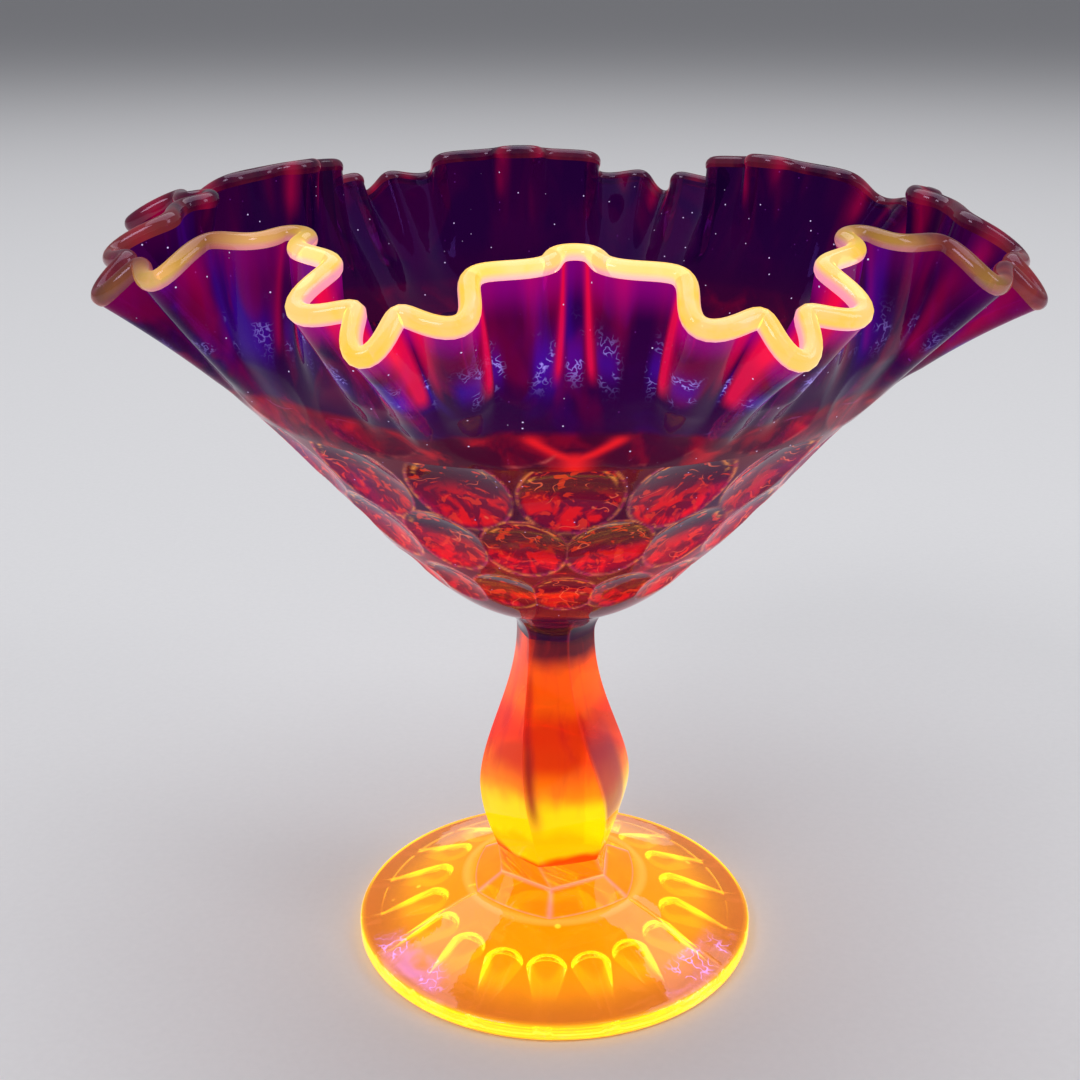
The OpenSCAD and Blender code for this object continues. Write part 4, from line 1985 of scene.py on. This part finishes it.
            # Painted red light gathered in the crimps behind.
            back = b.blend(b.times(b.mark("fold"), 0.7), back, MILK.red)
            glow = b.blend(front, b.blend(side, back, amber), milk)
            body = b.blend(front, b.blend(side, MILK.back_body, MILK.side_body), MILK.front_body)
            return body, glow

        glass = Glass(
            "glowing_lip", clear=0.7, rough=0.08, ripple=0.08, closeness=0.2, sheen=MILK.sheen
        )
        return glass.material(colours)


# ---- studio ----


@dataclass
class Softbox:
    """One soft lamp.

    Args:
        name: The lamp's name.
        place: Where it stands, in metres.
        size: Its width and height in metres.
        power: Its power in watts.
    """

    name: str
    place: tuple[float, float, float]
    size: tuple[float, float]
    power: float


@dataclass
class Studio:
    """The pale floor, the soft lamps and the camera."""

    floor_r: float = 14.0
    floor_drop: float = 0.0003
    floor_sides: int = 96
    paper: tuple[Colour, Colour] = ((0.72, 0.72, 0.74, 1), (0.76, 0.76, 0.78, 1))
    paper_rough: float = 0.9
    paper_grain: float = 0.6
    eye: tuple[float, float, float] = (-3.7, -310.9, 210.3)
    pitch: float = 20.48
    yaw: float = 0.06
    lens: float = 51.93
    sensor: float = 36.0
    air: float = 0.23
    air_tint: Colour = (0.93, 0.94, 1.0, 1.0)
    near_clip: float = 0.01
    boxes: tuple[Softbox, ...] = (
        Softbox("above", (0.0, 0.5, 2.0), (2.6, 2.6), 36.0),
        Softbox("key", (-0.7, -0.75, 1.1), (0.45, 0.45), 3.5),
        Softbox("fill", (0.9, -0.35, 0.8), (0.35, 0.6), 2.0),
    )

    def build(self) -> None:
        """Puts up the floor, the lamps and the camera."""
        self._floor()
        for box in self.boxes:
            self._lamp(box)
        self._air()
        self._camera()
        bpy.context.scene.view_settings.view_transform = "Standard"

    def _floor(self) -> None:
        """Lays the floor."""
        a = np.arange(self.floor_sides) * FULL_TURN / self.floor_sides
        points = around(self.floor_r, a, -self.floor_drop)
        mesh = bpy.data.meshes.new("floor")
        mesh.from_pydata(points.tolist(), [], [list(range(self.floor_sides))])
        floor = bpy.data.objects.new("floor", mesh)
        bpy.context.scene.collection.objects.link(floor)
        paper = bpy.data.materials.new("pale_paper")
        paper.use_nodes = True
        b = Bench(paper.node_tree)
        shader = paper.node_tree.nodes["Principled BSDF"]
        grain = b.node("TexNoise", noise_dimensions="3D")
        b.feed(grain.inputs["Vector"], b.place_vector())
        grain.inputs["Scale"].default_value = self.paper_grain
        b.feed(shader.inputs["Base Color"], b.blend(grain.outputs[0], *self.paper))
        shader.inputs["Roughness"].default_value = self.paper_rough
        mesh.materials.append(paper)

    def _lamp(self, box: Softbox) -> None:
        """Hangs one lamp, turned to the middle of the dish.

        Args:
            box: The lamp to hang.
        """
        data = bpy.data.lights.new(box.name, "AREA")
        data.shape = "RECTANGLE"
        data.size, data.size_y = box.size
        data.energy = box.power
        lamp = bpy.data.objects.new(box.name, data)
        bpy.context.scene.collection.objects.link(lamp)
        lamp.location = box.place
        low, high = CAD_BOX
        aim = (low + high) / 2 - lamp.location
        lamp.rotation_euler = aim.to_track_quat("-Z", "Y").to_euler()

    def _air(self) -> None:
        """Fills the room with pale light."""
        world = bpy.data.worlds.new("air")
        world.use_nodes = True
        shade = world.node_tree.nodes["Background"]
        shade.inputs["Color"].default_value = self.air_tint
        shade.inputs["Strength"].default_value = self.air
        bpy.context.scene.world = world

    def _camera(self) -> None:
        """Stands the camera at its place."""
        data = bpy.data.cameras.new("camera")
        data.sensor_width = self.sensor
        data.lens = self.lens
        data.clip_start = self.near_clip
        camera = bpy.data.objects.new("camera", data)
        bpy.context.scene.collection.objects.link(camera)
        camera.location = [q * MM for q in self.eye]
        camera.rotation_euler = (math.radians(90 - self.pitch), 0.0, math.radians(-self.yaw))
        bpy.context.scene.camera = camera


def main() -> None:
    """Builds and dresses the dish piece by piece."""
    logging.basicConfig(level=logging.INFO, format="%(name)s: %(message)s")
    Studio().build()
    foot, plinth, stem, flare, bowl, rim = Foot(), Plinth(), Stem(), NeckFlare(), Bowl(), Rim()
    work = (
        (foot.build, foot.dress, "foot", "amber_glass"),
        (plinth.build, plinth.dress, "plinth", "orange_glass"),
        (stem.build, stem.dress, "stem", "flame_glass"),
        (flare.build, flare.dress, "neck_flare", "ruby_glass"),
        (bowl.build, bowl.dress, "bowl", "ruby_glass"),
        (rim.build_skirt, rim.dress_skirt, "skirt", "plum_glass"),
        (rim.build_lip, rim.dress_lip, "lip", "glowing_lip"),
    )
    for build, dress, node, slot in work:
        piece = place(build(), node, slot, dress())
        log.info("%s stands for %s: %d faces", piece.name, node, len(piece.data.polygons))


if __name__ == "__main__":
    main()
